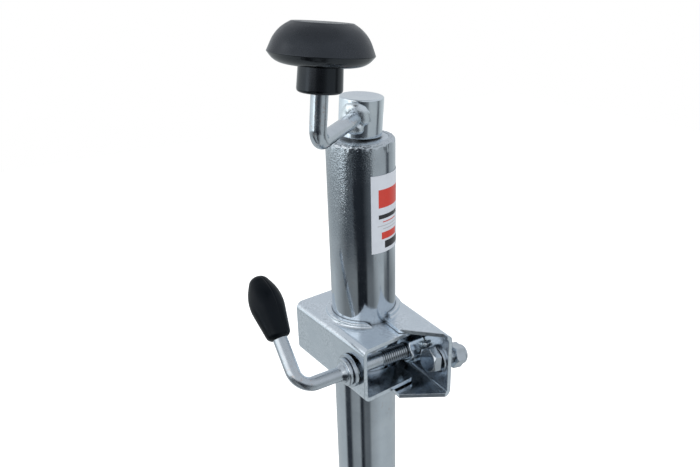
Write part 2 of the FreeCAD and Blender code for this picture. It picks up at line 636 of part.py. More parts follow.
def make_moving_jaw():
    """Swinging half of the clamp. Its hole is open towards the wall, so that it can leave the tube."""
    body = new_body("moving_jaw")
    half_height = d.jaw_half_height - d.jaw_sheet - d.face_gap - d.moving_play
    channel(body, d.moving_ear, -d.moving_wall, half_height, d.moving_bend, d.moving_front, d.moving_back)
    for upper_or_lower, front_end in ((1, d.collar_front), (-1, d.collar_front_low)):
        add_turned_edge(body, upper_or_lower, d.collar_width, half_height, d.collar_height, d.collar_foot,
                        d.collar_back, front_end)
    through = half_height * 2 + CLEAR
    hole = new_sketch(body, "XY_Plane")
    ring(hole, jaw_hole)
    add_cut(body, hole, through, symmetric=True)
    relief = new_sketch(body, "XY_Plane")
    past = d.moving_ear + CLEAR
    inset = jaw_hole - 1
    front_y = (jaw_hole - past * cosine(d.relief_front)) / sine(d.relief_front)
    back_y = (jaw_hole - past * cosine(d.relief_back)) / sine(d.relief_back)
    draw(relief, [
        (0, 0), (jaw_hole * cosine(d.relief_front), jaw_hole * sine(d.relief_front)), (past, front_y),
        (past, back_y), (jaw_hole * cosine(d.relief_back), jaw_hole * sine(d.relief_back))])
    add_cut(body, relief, through, symmetric=True)
    front = new_sketch(body, "XY_Plane")
    draw(front, [
        (d.moving_reach, 0), (d.moving_reach, -d.moving_front, d.moving_corner),
        (d.moving_reach - inset, -d.moving_front), (d.moving_reach - inset, -(d.moving_front + CLEAR)),
        (past, -(d.moving_front + CLEAR)), (past, 0)])
    add_cut(body, front, through, symmetric=True)
    hinge = new_sketch(body, "XY_Plane")
    lean = d.moving_lean
    ring(hinge, d.hinge_radius + d.slide_gap, d.hinge_side * cosine(lean) + d.hinge_back * sine(lean),
         d.hinge_back * cosine(lean) - d.hinge_side * sine(lean))
    add_cut(body, hinge, through, symmetric=True)
    screw = new_sketch(body, "YZ_Plane")
    wall_middle = d.moving_wall - d.jaw_sheet / 2
    side = (wall_middle - d.screw_forward * sine(lean)) / cosine(lean)
    along = side * sine(lean) - d.screw_forward * cosine(lean)
    slot(screw, d.slot_half_length, d.slot_half_height, along - d.slot_shift, -d.moving_play)
    add_cut(body, screw, d.moving_wall + CLEAR)
    place(body, ((tube_axis, 0, d.moving_play), ("z", lean)))


def make_hinge_pin():
    """Riveted pin that joins the jaws behind the tube, with a domed head at each end."""
    face, top = d.jaw_half_height, d.jaw_half_height + d.hinge_head_height
    body = turned_body("hinge_pin", [
        (0, -top), (d.hinge_head, -top, 2.4), (d.hinge_head, -face), (d.hinge_radius, -face),
        (d.hinge_radius, face), (d.hinge_head, face), (d.hinge_head, top, 2.4), (0, top)])
    place(body, ((tube_axis + d.hinge_side, d.hinge_back, 0),))


def make_screw_parts():
    """Nut welded inside the fixed jaw, and the loose washer under the lever's collar."""
    on_screw = ((tube_axis, -d.screw_forward, 0), ("y", 90))
    nut = hex_nut("clamp_nut", d.nut_width, wall_inside - d.nut_height, wall_inside,
                  d.screw_radius + d.slide_gap)
    place(nut, on_screw)
    washer = tube_body("clamp_washer", d.screw_radius + 0.1, d.washer_radius,
                       -(washer_inner + d.washer_thick), -washer_inner)
    place(washer, on_screw)


def make_lever():
    """Bent rod with a rolled thread at one end and an egg-shaped grip at the other."""
    on_lever = ((tube_axis, -d.screw_forward, 0), ("x", -d.lever_angle))
    rod = new_body("lever_rod")
    tip = d.jaw_standoff - 1
    rod_end = d.lever_arm - d.grip_length + d.grip_bore_depth - 1
    splayed = -(d.lever_corner + rod_end * sine(d.lever_splay))
    add_rod(rod, [(tip, 0), (-d.lever_corner, 0, d.lever_bend), (splayed, rod_end * cosine(d.lever_splay))],
            tip, d.lever_radius)
    thread = new_sketch(rod, "YZ_Plane", tip)
    ring(thread, d.screw_radius)
    add_pad(rod, thread, d.screw_thread, backwards=True)
    face, step = -collar_inner, -(collar_inner + d.lever_collar_thick)
    add_turning(rod, [
        (face, d.lever_radius - 1), (face, d.lever_collar, 0.8), (step, d.lever_collar, 1.4),
        (step, d.lever_radius + 2), (step - 3, d.lever_radius), (step - 3, d.lever_radius - 1)],
        axis="H_Axis")
    place(rod, on_lever)
    foot = d.lever_arm - d.grip_length
    bore = d.lever_radius + d.seat_gap
    bore_top = foot + d.grip_bore_depth
    grip = turned_body("lever_grip", [
        (bore, foot), (d.grip_foot, foot, 1.2),
        (d.grip_radius, foot + d.grip_length * 0.65, d.grip_length * 0.65),
        (d.grip_crown, d.lever_arm, d.grip_crown * 1.4), (0, d.lever_arm), (0, bore_top), (bore, bore_top)])
    place(grip, on_lever, ((-d.lever_corner, 0, 0), ("y", -d.lever_splay)))


def make_mounting_bolt():
    """Loose bolt in the front mounting hole, hanging at a slant, with its washer and locking nut."""
    along_bolt = ((-d.jaw_sheet / 2, -bolt_place, d.bolt_lift), ("y", 90 + d.bolt_droop))
    washer_out = d.jaw_sheet + 0.1
    washer = tube_body("mounting_washer", d.bolt_radius + 0.6, d.bolt_washer, 0, d.bolt_washer_thick)
    rise = (washer_out + d.bolt_washer_thick / 2 - d.jaw_sheet / 2) * sine(d.bolt_droop)
    place(washer, ((-washer_out, -bolt_place, d.bolt_lift + rise), ("y", -90)))
    bolt = hex_bolt("mounting_bolt", d.bolt_width, d.bolt_head, d.bolt_radius, d.bolt_length)
    head_tilt = d.bolt_width / 2 / cosine(30) * sine(d.bolt_droop)
    underside = -(washer_out + d.bolt_washer_thick + head_tilt + 0.1 - d.jaw_sheet / 2)
    place(bolt, along_bolt, ((0, 0, underside),))
    start, end = d.bolt_nut_start, d.bolt_nut_start + d.bolt_nut
    hexagonal = hexagon("mounting_nut", d.bolt_width, start, end)
    collar = doc.addObject("Part::Cylinder", "mounting_nutCollar")
    bind(collar, Radius=d.bolt_nut_collar_radius, Height=d.bolt_nut_collar)
    place(collar, ((0, 0, end),))
    whole = combined("MultiFuse", "mounting_nutWhole", hexagonal, collar)
    bore = cylinder("mounting_nutBore", d.bolt_radius + d.seat_gap, start - 1, end + d.bolt_nut_collar + 1)
    nut = finished(combined("Cut", "mounting_nut", whole, bore), "mounting_nut")
    place(nut, along_bolt)


# Post


def make_outer_tube():
    """Post of the jack. Its top edge is rolled in over the top plate."""
    top, lip = d.tube_top, d.tube_wall * 0.9
    body = turned_body("outer_tube", [
        (tube_inside, tube_bottom), (d.tube_radius, tube_bottom), (d.tube_radius, top, d.rim_rounding),
        (d.tube_radius - d.rim_reach, top), (d.tube_radius - d.rim_reach, top - lip),
        (tube_inside, top - lip)])
    place(body, on_tube_axis)


def make_top_plate():
    """Bearing plate under the rolled edge, with the spindle's hole."""
    hole = d.spindle_radius + d.slide_gap
    boss, edge = d.tube_radius - d.rim_reach - d.seat_gap, tube_inside - d.seat_gap
    step = d.tube_top - d.tube_wall * 0.9 - d.seat_gap
    body = turned_body("top_plate", [
        (hole, race_top), (edge, race_top), (edge, step),
        (boss, step), (boss, d.tube_top - d.plate_drop), (hole, d.tube_top - d.plate_drop)])
    place(body, on_tube_axis)


def make_thrust_bearing():
    """Two races with a caged ring of balls, between the top plate and the spindle's shoulder."""
    upper = tube_body("upper_race", d.race_inside, d.race_outside, race_top - d.race_thick, race_top)
    lower = tube_body("lower_race", d.race_inside, d.race_outside, shoulder_top, lower_race_top)
    cage = tube_body("ball_cage", d.ball_circle - d.cage_side, d.ball_circle + d.cage_side,
                     ball_height - d.cage_thick / 2, ball_height + d.cage_thick / 2)
    pocket_sketch = new_sketch(cage, "XY_Plane", ball_height)
    ring(pocket_sketch, d.ball_radius + d.cage_hole_gap, d.ball_circle, 0)
    pocket = add_cut(cage, pocket_sketch, d.cage_thick * 2, symmetric=True)
    doc.recompute()
    pattern = cage.newObject("PartDesign::PolarPattern", "ball_cagePattern")
    pattern.Originals = [pocket]
    pattern.Axis = (pocket_sketch, ["N_Axis"])
    pattern.Angle = 360
    bind(pattern, Occurrences=d.ball_count)
    cage.Tip = pattern
    balls = doc.addObject("Part::Compound", "thrust_balls")
    count = int(d.ball_count.value)
    balls.Links = [
        primitive("Sphere", "thrustBall", [((0, 0, 0), ("z", 360 * i / d.ball_count)),
                                           ((d.ball_circle, 0, ball_height),)], Radius=d.ball_radius)
        for i in range(count)]
    for part in (upper, lower, cage, finished(balls, "thrust_balls")):
        place(part, on_tube_axis)


def make_label():
    """Plain label wrapped round the post."""
    inside = d.tube_radius + 0.1
    body = turned_body("label", [
        (inside, d.label_low), (inside + d.label_thick, d.label_low),
        (inside + d.label_thick, d.label_low + d.label_height), (inside, d.label_low + d.label_height)],
        angle=d.label_span)
    place(body, (*on_tube_axis, ("z", d.label_start)))


def make_guide_bush():
    """Flanged plastic sleeve in the post's lower end, with the key that stops the inner tube from turning."""
    inside, outside = d.leg_radius + d.slide_gap, tube_inside - d.seat_gap
    body = turned_body("guide_bush", [
        (inside, tube_bottom - d.bush_flange), (d.tube_radius, tube_bottom - d.bush_flange),
        (d.tube_radius, tube_bottom), (outside, tube_bottom), (outside, tube_bottom + d.bush_length),
        (inside, tube_bottom + d.bush_length)])
    key_inside = d.leg_radius - d.leg_wall + 0.3
    sketch = new_sketch(body, "XZ_Plane", -key_inside)
    half = d.key_width / 2
    draw(sketch, [(-half, key_bottom), (half, key_bottom), (half, key_bottom + d.key_height),
                  (-half, key_bottom + d.key_height)])
    add_pad(body, sketch, outside - 0.4 - key_inside, backwards=True)
    place(body, on_tube_axis)


# Crank


def make_spindle():
    """Screw of the jack with its bearing shoulder. The thread is left plain."""
    top = hub_bottom + d.hub_bore_depth - 0.5
    body = turned_body("spindle", [
        (0, spindle_bottom), (d.spindle_radius, spindle_bottom, 2), (d.spindle_radius, shoulder_bottom),
        (d.shoulder_radius, shoulder_bottom), (d.shoulder_radius, shoulder_top),
        (d.spindle_radius, shoulder_top), (d.spindle_radius, top), (0, top)])
    hole = new_sketch(body, "YZ_Plane")
    ring(hole, d.cross_pin_radius + d.seat_gap, 0, hub_bottom + d.cross_pin_height)
    add_cut(body, hole, d.spindle_radius * 2 + CLEAR, symmetric=True)
    tail = new_sketch(body, "YZ_Plane")
    ring(tail, d.stop_pin_radius + d.seat_gap, 0, stop_pin_height)
    add_cut(body, tail, d.spindle_radius * 2 + CLEAR, symmetric=True)
    place(body, (*on_tube_axis, ("z", d.crank_angle)))


def make_spindle_stop():
    """Washer and pin that stop the nut from running off the spindle."""
    washer = tube_body("stop_washer", d.spindle_radius + 0.1, d.stop_radius,
                       stop_top - d.stop_thick, stop_top)
    place(washer, on_tube_axis)
    half = d.stop_pin_length / 2
    pin = turned_body("stop_pin", [
        (0, -half), (d.stop_pin_radius, -half, 0.6), (d.stop_pin_radius, half, 0.6), (0, half)])
    place(pin, ((tube_axis, 0, stop_pin_height), ("z", d.crank_angle), ("y", 90)))


def make_crank_hub():
    """Turned hub, sitting slightly askew on the spindle, with a socket for the arm and a hole for its pin."""
    top = d.hub_height
    body = turned_body("crank_hub", [
        (0, 0), (d.hub_radius, 0, d.hub_rounding / 2), (d.hub_radius, top, d.hub_rounding), (0, top)])
    bore = new_sketch(body, "XY_Plane")
    bore.setExpression("AttachmentOffset.Rotation", turned("x", -d.crank_side_lean))
    ring(bore, d.spindle_radius + d.seat_gap)
    add_cut(body, bore, d.hub_bore_depth * 2, symmetric=True)
    socket = new_sketch(body, "YZ_Plane")
    ring(socket, d.crank_radius + d.seat_gap, 0, d.crank_height)
    add_cut(body, socket, d.hub_radius + 1, backwards=True)
    hole = new_sketch(body, "YZ_Plane")
    ring(hole, d.cross_pin_radius + d.seat_gap, d.cross_pin_height * sine(d.crank_side_lean),
         d.cross_pin_height * cosine(d.crank_side_lean))
    add_cut(body, hole, d.hub_radius + 1)
    place(body, on_hub)
    pin = turned_body("cross_pin", [
        (0, 0), (d.cross_pin_radius, 0, 0.5), (d.cross_pin_radius, cross_pin_length, 0.5),
        (0, cross_pin_length)])
    place(pin, ((tube_axis, 0, hub_bottom + d.cross_pin_height), ("z", d.crank_angle), ("y", 90)),
          ((0, 0, 0.5 - d.hub_radius),))


def make_crank_rod():
    """Arm and upright of the handle, bent from one bar and let into the hub."""
    body = new_body("crank_rod")
    start = d.spindle_radius + 0.4
    reach = d.knob_top - d.knob_cap_thick - 2
    add_rod(body, [
        (start, 0), (d.crank_throw, 0, d.crank_bend),
        (d.crank_throw - reach * sine(d.crank_lean), reach * cosine(d.crank_lean))], start, d.crank_radius)
    place(body, *on_crank)
    bead = primitive("Torus", "weldBead", [((d.hub_radius, 0, 0), ("y", 90))],
                     Radius1=d.crank_radius + d.weld_radius * 0.5, Radius2=d.weld_radius)
    hub = cylinder("weldHub", d.hub_radius + 0.02, -d.hub_height, d.hub_height)
    arm = cylinder("weldArm", d.crank_radius + 0.02, -CLEAR, d.hub_radius + CLEAR, [((0, 0, 0), ("y", 90))])
    trimmed = combined("Cut", "weldTrimmed", bead, hub)
    weld = finished(combined("Cut", "weld_bead", trimmed, arm), "weld_bead")
    place(weld, *on_crank)


# Knob


def make_knob():
    """Mushroom knob that turns on the upright, with a cap over the push-on ring."""
    on_knob = (*on_crank, ((d.crank_throw, 0, 0), ("y", -d.crank_lean)))
    bore, recess = d.crank_radius + d.slide_gap, d.knob_top - d.knob_cap_thick
    cap_seat = d.knob_cap + d.seat_gap
    knob = turned_body("knob", [
        (bore, d.knob_start), (d.knob_boss, d.knob_start, 2), (d.knob_boss - 0.5, d.knob_boss_top, 0.5),
        (d.knob_rim * 0.84, d.knob_boss_top + 0.4, 11), (d.knob_rim, d.knob_rim_height, 0.6),
        (d.knob_rim * 0.84, d.knob_top - 4.6, 20), (d.knob_flat, d.knob_top, 0.8), (cap_seat, d.knob_top),
        (cap_seat, recess), (d.knob_cavity, recess), (d.knob_cavity, d.knob_floor), (bore, d.knob_floor)])
    cap = turned_body("knob_cap", [
        (0, recess), (d.knob_cap, recess), (d.knob_cap, d.knob_top, 0.4), (0, d.knob_top)])
    low = d.knob_floor + d.face_gap
    retainer = tube_body("knob_ring", d.crank_radius + d.seat_gap, d.ring_radius, low, low + d.ring_thick)
    for part in (knob, cap, retainer):
        place(part, *on_knob)


# Leg


def make_inner_tube():
    """Sliding tube with the long slot that runs on the guide key."""
    inside = d.leg_radius - d.leg_wall
    body = tube_body("inner_tube", inside, d.leg_radius, leg_bottom, leg_top)
    half = d.key_width / 2 + d.key_slot_gap
    low = key_bottom - d.leg_retract - d.leg_end_gap
    high = key_bottom + d.key_height + d.leg_extend + d.leg_end_gap
    sketch = new_sketch(body, "XZ_Plane")
    draw(sketch, [(-half, low), (half, low), (half, high), (-half, high)])
    add_cut(body, sketch, d.leg_radius + CLEAR)
    place(body, on_tube_axis)
    nut = tube_body("spindle_nut", d.spindle_radius + d.slide_gap, inside - d.seat_gap,
                    leg_top - d.leg_nut_height, leg_top)
    place(nut, on_tube_axis)


def make_leg_plug():
    """Turned plug in the leg's lower end, whose pin carries the fork."""
    inside = d.leg_radius - d.leg_wall - d.seat_gap
    groove = d.pivot_radius - d.pivot_groove
    groove_bottom = pivot_ring_top - d.pivot_ring_thick
    body = turned_body("leg_plug", [
        (0, pivot_bottom), (d.pivot_radius, pivot_bottom, 0.8), (d.pivot_radius, groove_bottom),
        (groove, groove_bottom), (groove, pivot_ring_top), (d.pivot_radius, pivot_ring_top),
        (d.pivot_radius, plug_bottom), (d.plug_flange_radius, plug_bottom, 1),
        (d.plug_flange_radius, leg_bottom, 1), (inside, leg_bottom), (inside, leg_bottom + d.plug_depth),
        (0, leg_bottom + d.plug_depth)])
    washer = tube_body("pivot_washer", d.pivot_radius + 0.1, d.pivot_washer, pivot_ring_top, pivot_washer_top)
    retainer = tube_body("pivot_ring", groove + d.seat_gap, d.pivot_ring, groove_bottom, pivot_ring_top)
    for part in (body, washer, retainer):
        place(part, on_tube_axis)


# Fork


def make_fork():
    """Folded castor fork: a crown under the pivot and two cheeks that sweep back to the axle."""
    body = new_body("fork")
    side = new_sketch(body, "YZ_Plane")
    trail, foot, low = d.fork_trail, d.fork_foot, -(fork_drop + d.fork_foot)
    corner, upper_bend, lower_bend = d.fork_sheet * 1.5, fork_drop * 0.18, fork_drop * 0.27
    draw(side, [
        (-d.fork_front, 0, corner), (-d.fork_front, -fork_drop * 0.3, upper_bend),
        (trail - foot, -fork_drop * 0.86, lower_bend), (trail - foot, low, foot * 0.94),
        (trail + foot, low, foot * 0.94), (trail + foot, -fork_drop * 0.8, lower_bend),
        (d.fork_back, -fork_drop * 0.2, upper_bend), (d.fork_back, 0, corner)])
    add_pad(body, side, fork_outside * 2, symmetric=True)
    gap = new_sketch(body, "XZ_Plane")
    inner_bend = d.fork_bend - d.fork_sheet
    draw(gap, [
        (-fork_inside, low - CLEAR), (fork_inside, low - CLEAR), (fork_inside, -d.fork_sheet, inner_bend),
        (-fork_inside, -d.fork_sheet, inner_bend)])
    add_cut(body, gap, (trail + foot + CLEAR) * 4, symmetric=True)
    for across in (1, -1):
        shoulder = new_sketch(body, "XZ_Plane")
        bend, outer = d.fork_bend, fork_outside * across
        draw(shoulder, [
            (outer - bend * across, 0), (outer, 0, bend * 0.999), (outer, -bend),
            (outer + CLEAR * across, -bend), (outer + CLEAR * across, CLEAR), (outer - bend * across, CLEAR)])
        add_cut(body, shoulder, (trail + foot + CLEAR) * 4, symmetric=True)
    pivot = new_sketch(body, "XY_Plane")
    ring(pivot, d.pivot_radius + d.slide_gap)
    add_cut(body, pivot, d.fork_sheet * 4, symmetric=True)
    axle = new_sketch(body, "YZ_Plane")
    ring(axle, d.axle_radius + d.seat_gap, trail, -fork_drop)
    add_cut(body, axle, fork_outside * 2 + CLEAR, symmetric=True)
    place(body, ((tube_axis, 0, crown_top),))
    washer = tube_body("swivel_washer", d.pivot_radius + d.slide_gap, d.plug_flange_radius,
                       crown_top, swivel_top)
    place(washer, on_tube_axis)


def make_axle():
    """Axle bolt and nut, and a washer inside each cheek."""
    grip = fork_outside * 2
    bolt = hex_bolt("axle_bolt", d.axle_width, d.axle_head, d.axle_radius,
                    grip + d.axle_nut_height + d.axle_end)
    place(bolt, on_axle, ((0, 0, -fork_outside),))
    nut = hex_nut("axle_nut", d.axle_width, fork_outside, fork_outside + d.axle_nut_height,
                  d.axle_radius + d.seat_gap)
    place(nut, on_axle)
    low = fork_inside - d.axle_washer_thick
    for label, turn in (("axle_washer_right", 0), ("axle_washer_left", 180)):
        washer = tube_body(label, d.axle_radius + d.seat_gap, d.axle_washer, low, fork_inside)
        place(washer, on_axle, ((0, 0, 0), ("y", turn)))


# Wheel


def make_tyre():
    """Solid rubber tyre with two tread grooves, seated between the rim's flanges."""
    outer, inner, half = d.wheel_radius, rim_radius + 0.1, d.tyre_width / 2
    seat = d.rim_half_width - 0.1
    bead = rim_radius + d.rim_flange + d.rim_sheet
    side, depth = d.tyre_groove_side, outer - d.tyre_groove
    groove = d.tyre_groove / 2
    upper = [
        (depth, side - groove), (depth, side + groove), (outer, side + groove),
        (outer, half, d.tyre_shoulder), (bead + d.tyre_height * 0.13, half, d.tyre_height * 0.16),
        (bead, seat), (inner, seat)]
    lower = [(across, -along, *rest) for across, along, *rest in reversed(upper)]
    body = turned_body("tyre", [
        *lower, (outer, groove - side), (outer, side - groove), *upper])
    place(body, on_axle)


def make_rim_half(label, turn):
    """Pressed steel half of the rim: web, seat and flange in one sheet."""
    sheet_out, web = d.rim_half_width + d.rim_sheet, d.rim_sheet
    seat, flange = rim_radius, rim_radius + d.rim_flange
    hole = d.wheel_hub_radius + d.seat_gap
    raised, rounding = web + d.rim_emboss, rim_radius * 0.065
    body = turned_body(label, [
        (hole, 0), (seat, 0, d.rim_bend), (seat, d.rim_half_width), (flange, d.rim_half_width),
        (flange, sheet_out), (seat - web, sheet_out, d.rim_bend), (seat - web, web, d.rim_bend * 0.6),
        (rim_radius * 0.885, web, rounding), (rim_radius * 0.82, raised, rounding),
        (rim_radius * 0.69, raised, rounding), (rim_radius * 0.63, web, rounding), (hole, web)])
    holes = new_sketch(body, "XY_Plane")
    ring(holes, d.rivet_radius + d.seat_gap, rivet_circle, 0)
    pocket = add_cut(body, holes, d.rim_sheet * 4, symmetric=True)
    doc.recompute()
    pattern = body.newObject("PartDesign::PolarPattern", f"{label}Pattern")
    pattern.Originals = [pocket]
    pattern.Axis = (holes, ["N_Axis"])
    pattern.Angle = 360
    bind(pattern, Occurrences=d.rivet_count)
    body.Tip = pattern
    place(body, on_axle, ((0, 0, 0), ("x", turn)))


def make_rim_rivets():
    """Rivets that hold the two halves of the rim together, as one group."""
    web = d.rim_sheet
    rivets = []
    for i in range(int(d.rivet_count.value)):
        turn = ((0, 0, 0), ("z", 360 * i / d.rivet_count))
        out = ((rivet_circle, 0, 0),)
        shank = cylinder("rivetShank", d.rivet_radius, -web, web, [turn, out])
        upper = cylinder("rivetHead", d.rivet_head, web, web + d.rivet_head_height, [turn, out])
        lower = cylinder("rivetHead", d.rivet_head, -web - d.rivet_head_height, -web, [turn, out])
        rivet = doc.addObject("Part::MultiFuse", "rimRivet")
        rivet.Shapes = [shank, upper, lower]
        rivets.append(rivet)
    group = doc.addObject("Part::Compound", "rim_rivets")
    group.Links = rivets
    place(finished(group, "rim_rivets"), on_axle)


def make_wheel_hub():
    """Hub tube with a flanged plastic bush in each end."""
    bore = d.axle_radius + d.bearing_wall
    hub = tube_body("wheel_hub", bore + d.seat_gap, d.wheel_hub_radius, -d.wheel_hub_half, d.wheel_hub_half)
    place(hub, on_axle)
    inside, half = d.axle_radius + d.slide_gap, d.wheel_hub_half
    for label, turn in (("wheel_bush_right", 0), ("wheel_bush_left", 180)):
        bush = turned_body(label, [
            (inside, half - d.bearing_length), (bore, half - d.bearing_length), (bore, half),
            (d.bearing_flange, half), (d.bearing_flange, bearing_face, 0.5), (inside, bearing_face)])
        place(bush, on_axle, ((0, 0, 0), ("x", turn)))


def check_and_write():
    """Writes one file for each sub-part, once every object is sound."""
    doc.recompute()
    for item in doc.Objects:
        if "Invalid" in item.State or "Error" in item.State:
            raise RuntimeError(f"{item.Label} failed: {item.State}")
    for part in subparts:
        if part.Shape.isNull() or not part.Shape.isValid() or not part.Shape.Solids:
            raise RuntimeError(f"{part.Label} has no valid solid")
    os.makedirs("parts", exist_ok=True)
    for part in subparts:
        part.Shape.exportStep(f"parts/{part.Label}.step")
        print(f"{part.Label}: {len(part.Shape.Solids)} solids, {part.Shape.Volume / 1000:.2f} cm3")
    print(len(subparts), "sub-parts")


make_fixed_jaw()
make_hinge_pin()
make_screw_parts()
make_mounting_bolt()
make_moving_jaw()
make_lever()
make_outer_tube()
make_top_plate()
make_thrust_bearing()
make_label()
make_guide_bush()
make_spindle()
make_spindle_stop()
make_crank_hub()
make_crank_rod()
make_knob()
make_inner_tube()
make_leg_plug()
make_fork()
make_axle()
make_tyre()
make_rim_half("rim_half_right", 0)
make_rim_half("rim_half_left", 180)
make_rim_rivets()
make_wheel_hub()
check_and_write()
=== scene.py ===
from math import atan2, cos, degrees, exp, pi, radians, sin, sqrt, tan

import bpy
from mathutils import Matrix, Vector, noise


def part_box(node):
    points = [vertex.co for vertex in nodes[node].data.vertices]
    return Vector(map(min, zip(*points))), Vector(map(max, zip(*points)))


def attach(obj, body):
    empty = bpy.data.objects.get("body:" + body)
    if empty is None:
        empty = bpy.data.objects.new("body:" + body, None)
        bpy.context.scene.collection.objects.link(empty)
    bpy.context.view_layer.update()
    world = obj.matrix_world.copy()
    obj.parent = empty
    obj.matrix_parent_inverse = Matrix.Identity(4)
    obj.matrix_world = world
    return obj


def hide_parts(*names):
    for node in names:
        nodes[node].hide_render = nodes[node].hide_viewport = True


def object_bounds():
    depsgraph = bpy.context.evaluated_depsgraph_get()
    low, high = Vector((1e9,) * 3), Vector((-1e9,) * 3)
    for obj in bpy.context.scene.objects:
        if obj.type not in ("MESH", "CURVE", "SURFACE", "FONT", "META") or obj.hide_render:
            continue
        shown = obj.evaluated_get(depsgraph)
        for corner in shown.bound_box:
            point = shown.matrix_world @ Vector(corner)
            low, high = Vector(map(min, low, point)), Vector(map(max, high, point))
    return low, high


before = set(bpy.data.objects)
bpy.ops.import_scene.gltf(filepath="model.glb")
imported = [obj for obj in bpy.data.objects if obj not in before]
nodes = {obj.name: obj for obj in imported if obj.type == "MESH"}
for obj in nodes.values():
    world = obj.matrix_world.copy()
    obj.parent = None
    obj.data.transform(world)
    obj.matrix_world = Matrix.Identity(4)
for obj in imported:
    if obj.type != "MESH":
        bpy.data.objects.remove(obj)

# Jockey wheel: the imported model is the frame, and this script dresses it.
# Lengths are in metres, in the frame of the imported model, and angles in degrees.

cadLow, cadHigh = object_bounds()
tubeAxis = Vector((-0.030, 0.0, 0.0))      # the post's axis runs upwards through here
print("stage: frame loaded with", len(nodes), "nodes")


# Shader helpers

def put(tree, kind, inputs=None, **settings):
    node = tree.nodes.new(kind)
    for name, value in settings.items():
        setattr(node, name, value)
    for name, value in (inputs or {}).items():
        if isinstance(value, bpy.types.Node):
            value = value.outputs[0]
        if isinstance(value, bpy.types.NodeSocket):
            tree.links.new(value, node.inputs[name])
        else:
            node.inputs[name].default_value = value
    return node


def calc(operation, result, *others):
    for value in others:
        made = put(result.id_data, "ShaderNodeMath", {0: result, 1: value}, operation=operation)
        result = made.outputs[0]
    return result


def times(*factors):
    return calc("MULTIPLY", *factors)


def spread(value, low, high, newLow=0.0, newHigh=1.0):
    # a smooth step from newLow to newHigh, while the value goes from low to high
    made = put(value.id_data, "ShaderNodeMapRange", {
        "Value": value, "From Min": low, "From Max": high, "To Min": newLow, "To Max": newHigh,
    }, interpolation_type="SMOOTHSTEP")
    return made.outputs[0]


def noiseOf(where, scale, detail=3.0, roughness=0.55, stretch=(1, 1, 1), shift=(0, 0, 0),
            band=None, reach=(0.0, 1.0)):
    # with a band, only the values inside it count, spread over the reach
    tree = where.id_data
    mapped = put(tree, "ShaderNodeMapping", {"Vector": where, "Scale": stretch, "Location": shift})
    made = put(tree, "ShaderNodeTexNoise", {
        "Vector": mapped, "Scale": scale, "Detail": detail, "Roughness": roughness})
    value = made.outputs["Fac"]
    return spread(value, *band, *reach) if band else value


def mixColours(factor, first, second):
    tree = factor.id_data
    made = put(tree, "ShaderNodeMix", {"Factor": factor}, data_type="RGBA")
    for socket, colour in ((made.inputs[6], first), (made.inputs[7], second)):
        if isinstance(colour, bpy.types.NodeSocket):
            tree.links.new(colour, socket)
        else:
            socket.default_value = (*colour, 1)
    return made.outputs[2]


def scaled(colour, factor):
    return tuple(channel * factor for channel in colour)


def bumpOf(height, distance, normal=None):
    inputs = {"Height": height, "Distance": distance}
    if normal:
        inputs["Normal"] = normal
    return put(height.id_data, "ShaderNodeBump", inputs).outputs[0]


def axesOf(vector):
    return put(vector.id_data, "ShaderNodeSeparateXYZ", {"Vector": vector}).outputs


def facingUp(where):
    return axesOf(put(where.id_data, "ShaderNodeNewGeometry").outputs["Normal"])["Z"]


def rayKinds(tree):
    # is a ray the camera's own, and has a surface mirrored it or let it through
    rays = put(tree, "ShaderNodeLightPath").outputs
    mirrored = calc("MAXIMUM", rays["Is Glossy Ray"], rays["Is Transmission Ray"])
    return rays["Is Camera Ray"], mirrored


def emptyTree(owner):
    owner.use_nodes = True
    owner.node_tree.nodes.clear()
    return owner.node_tree


def startMaterial(name, **constants):
    material = bpy.data.materials.new(name)
    tree = emptyTree(material)
    shader = put(tree, "ShaderNodeBsdfPrincipled")
    for socket, value in constants.items():
        shader.inputs[socket.replace("_", " ")].default_value = value
    put(tree, "ShaderNodeOutputMaterial", {"Surface": shader})
    where = put(tree, "ShaderNodeTexCoord").outputs["Object"]
    return material, shader, where


def finished(material, shader, colour, roughness, normal):
    for socket, source in (("Base Color", colour), ("Roughness", roughness), ("Normal", normal)):
        shader.id_data.links.new(source, shader.inputs[socket])
    return material


# Zinc plating

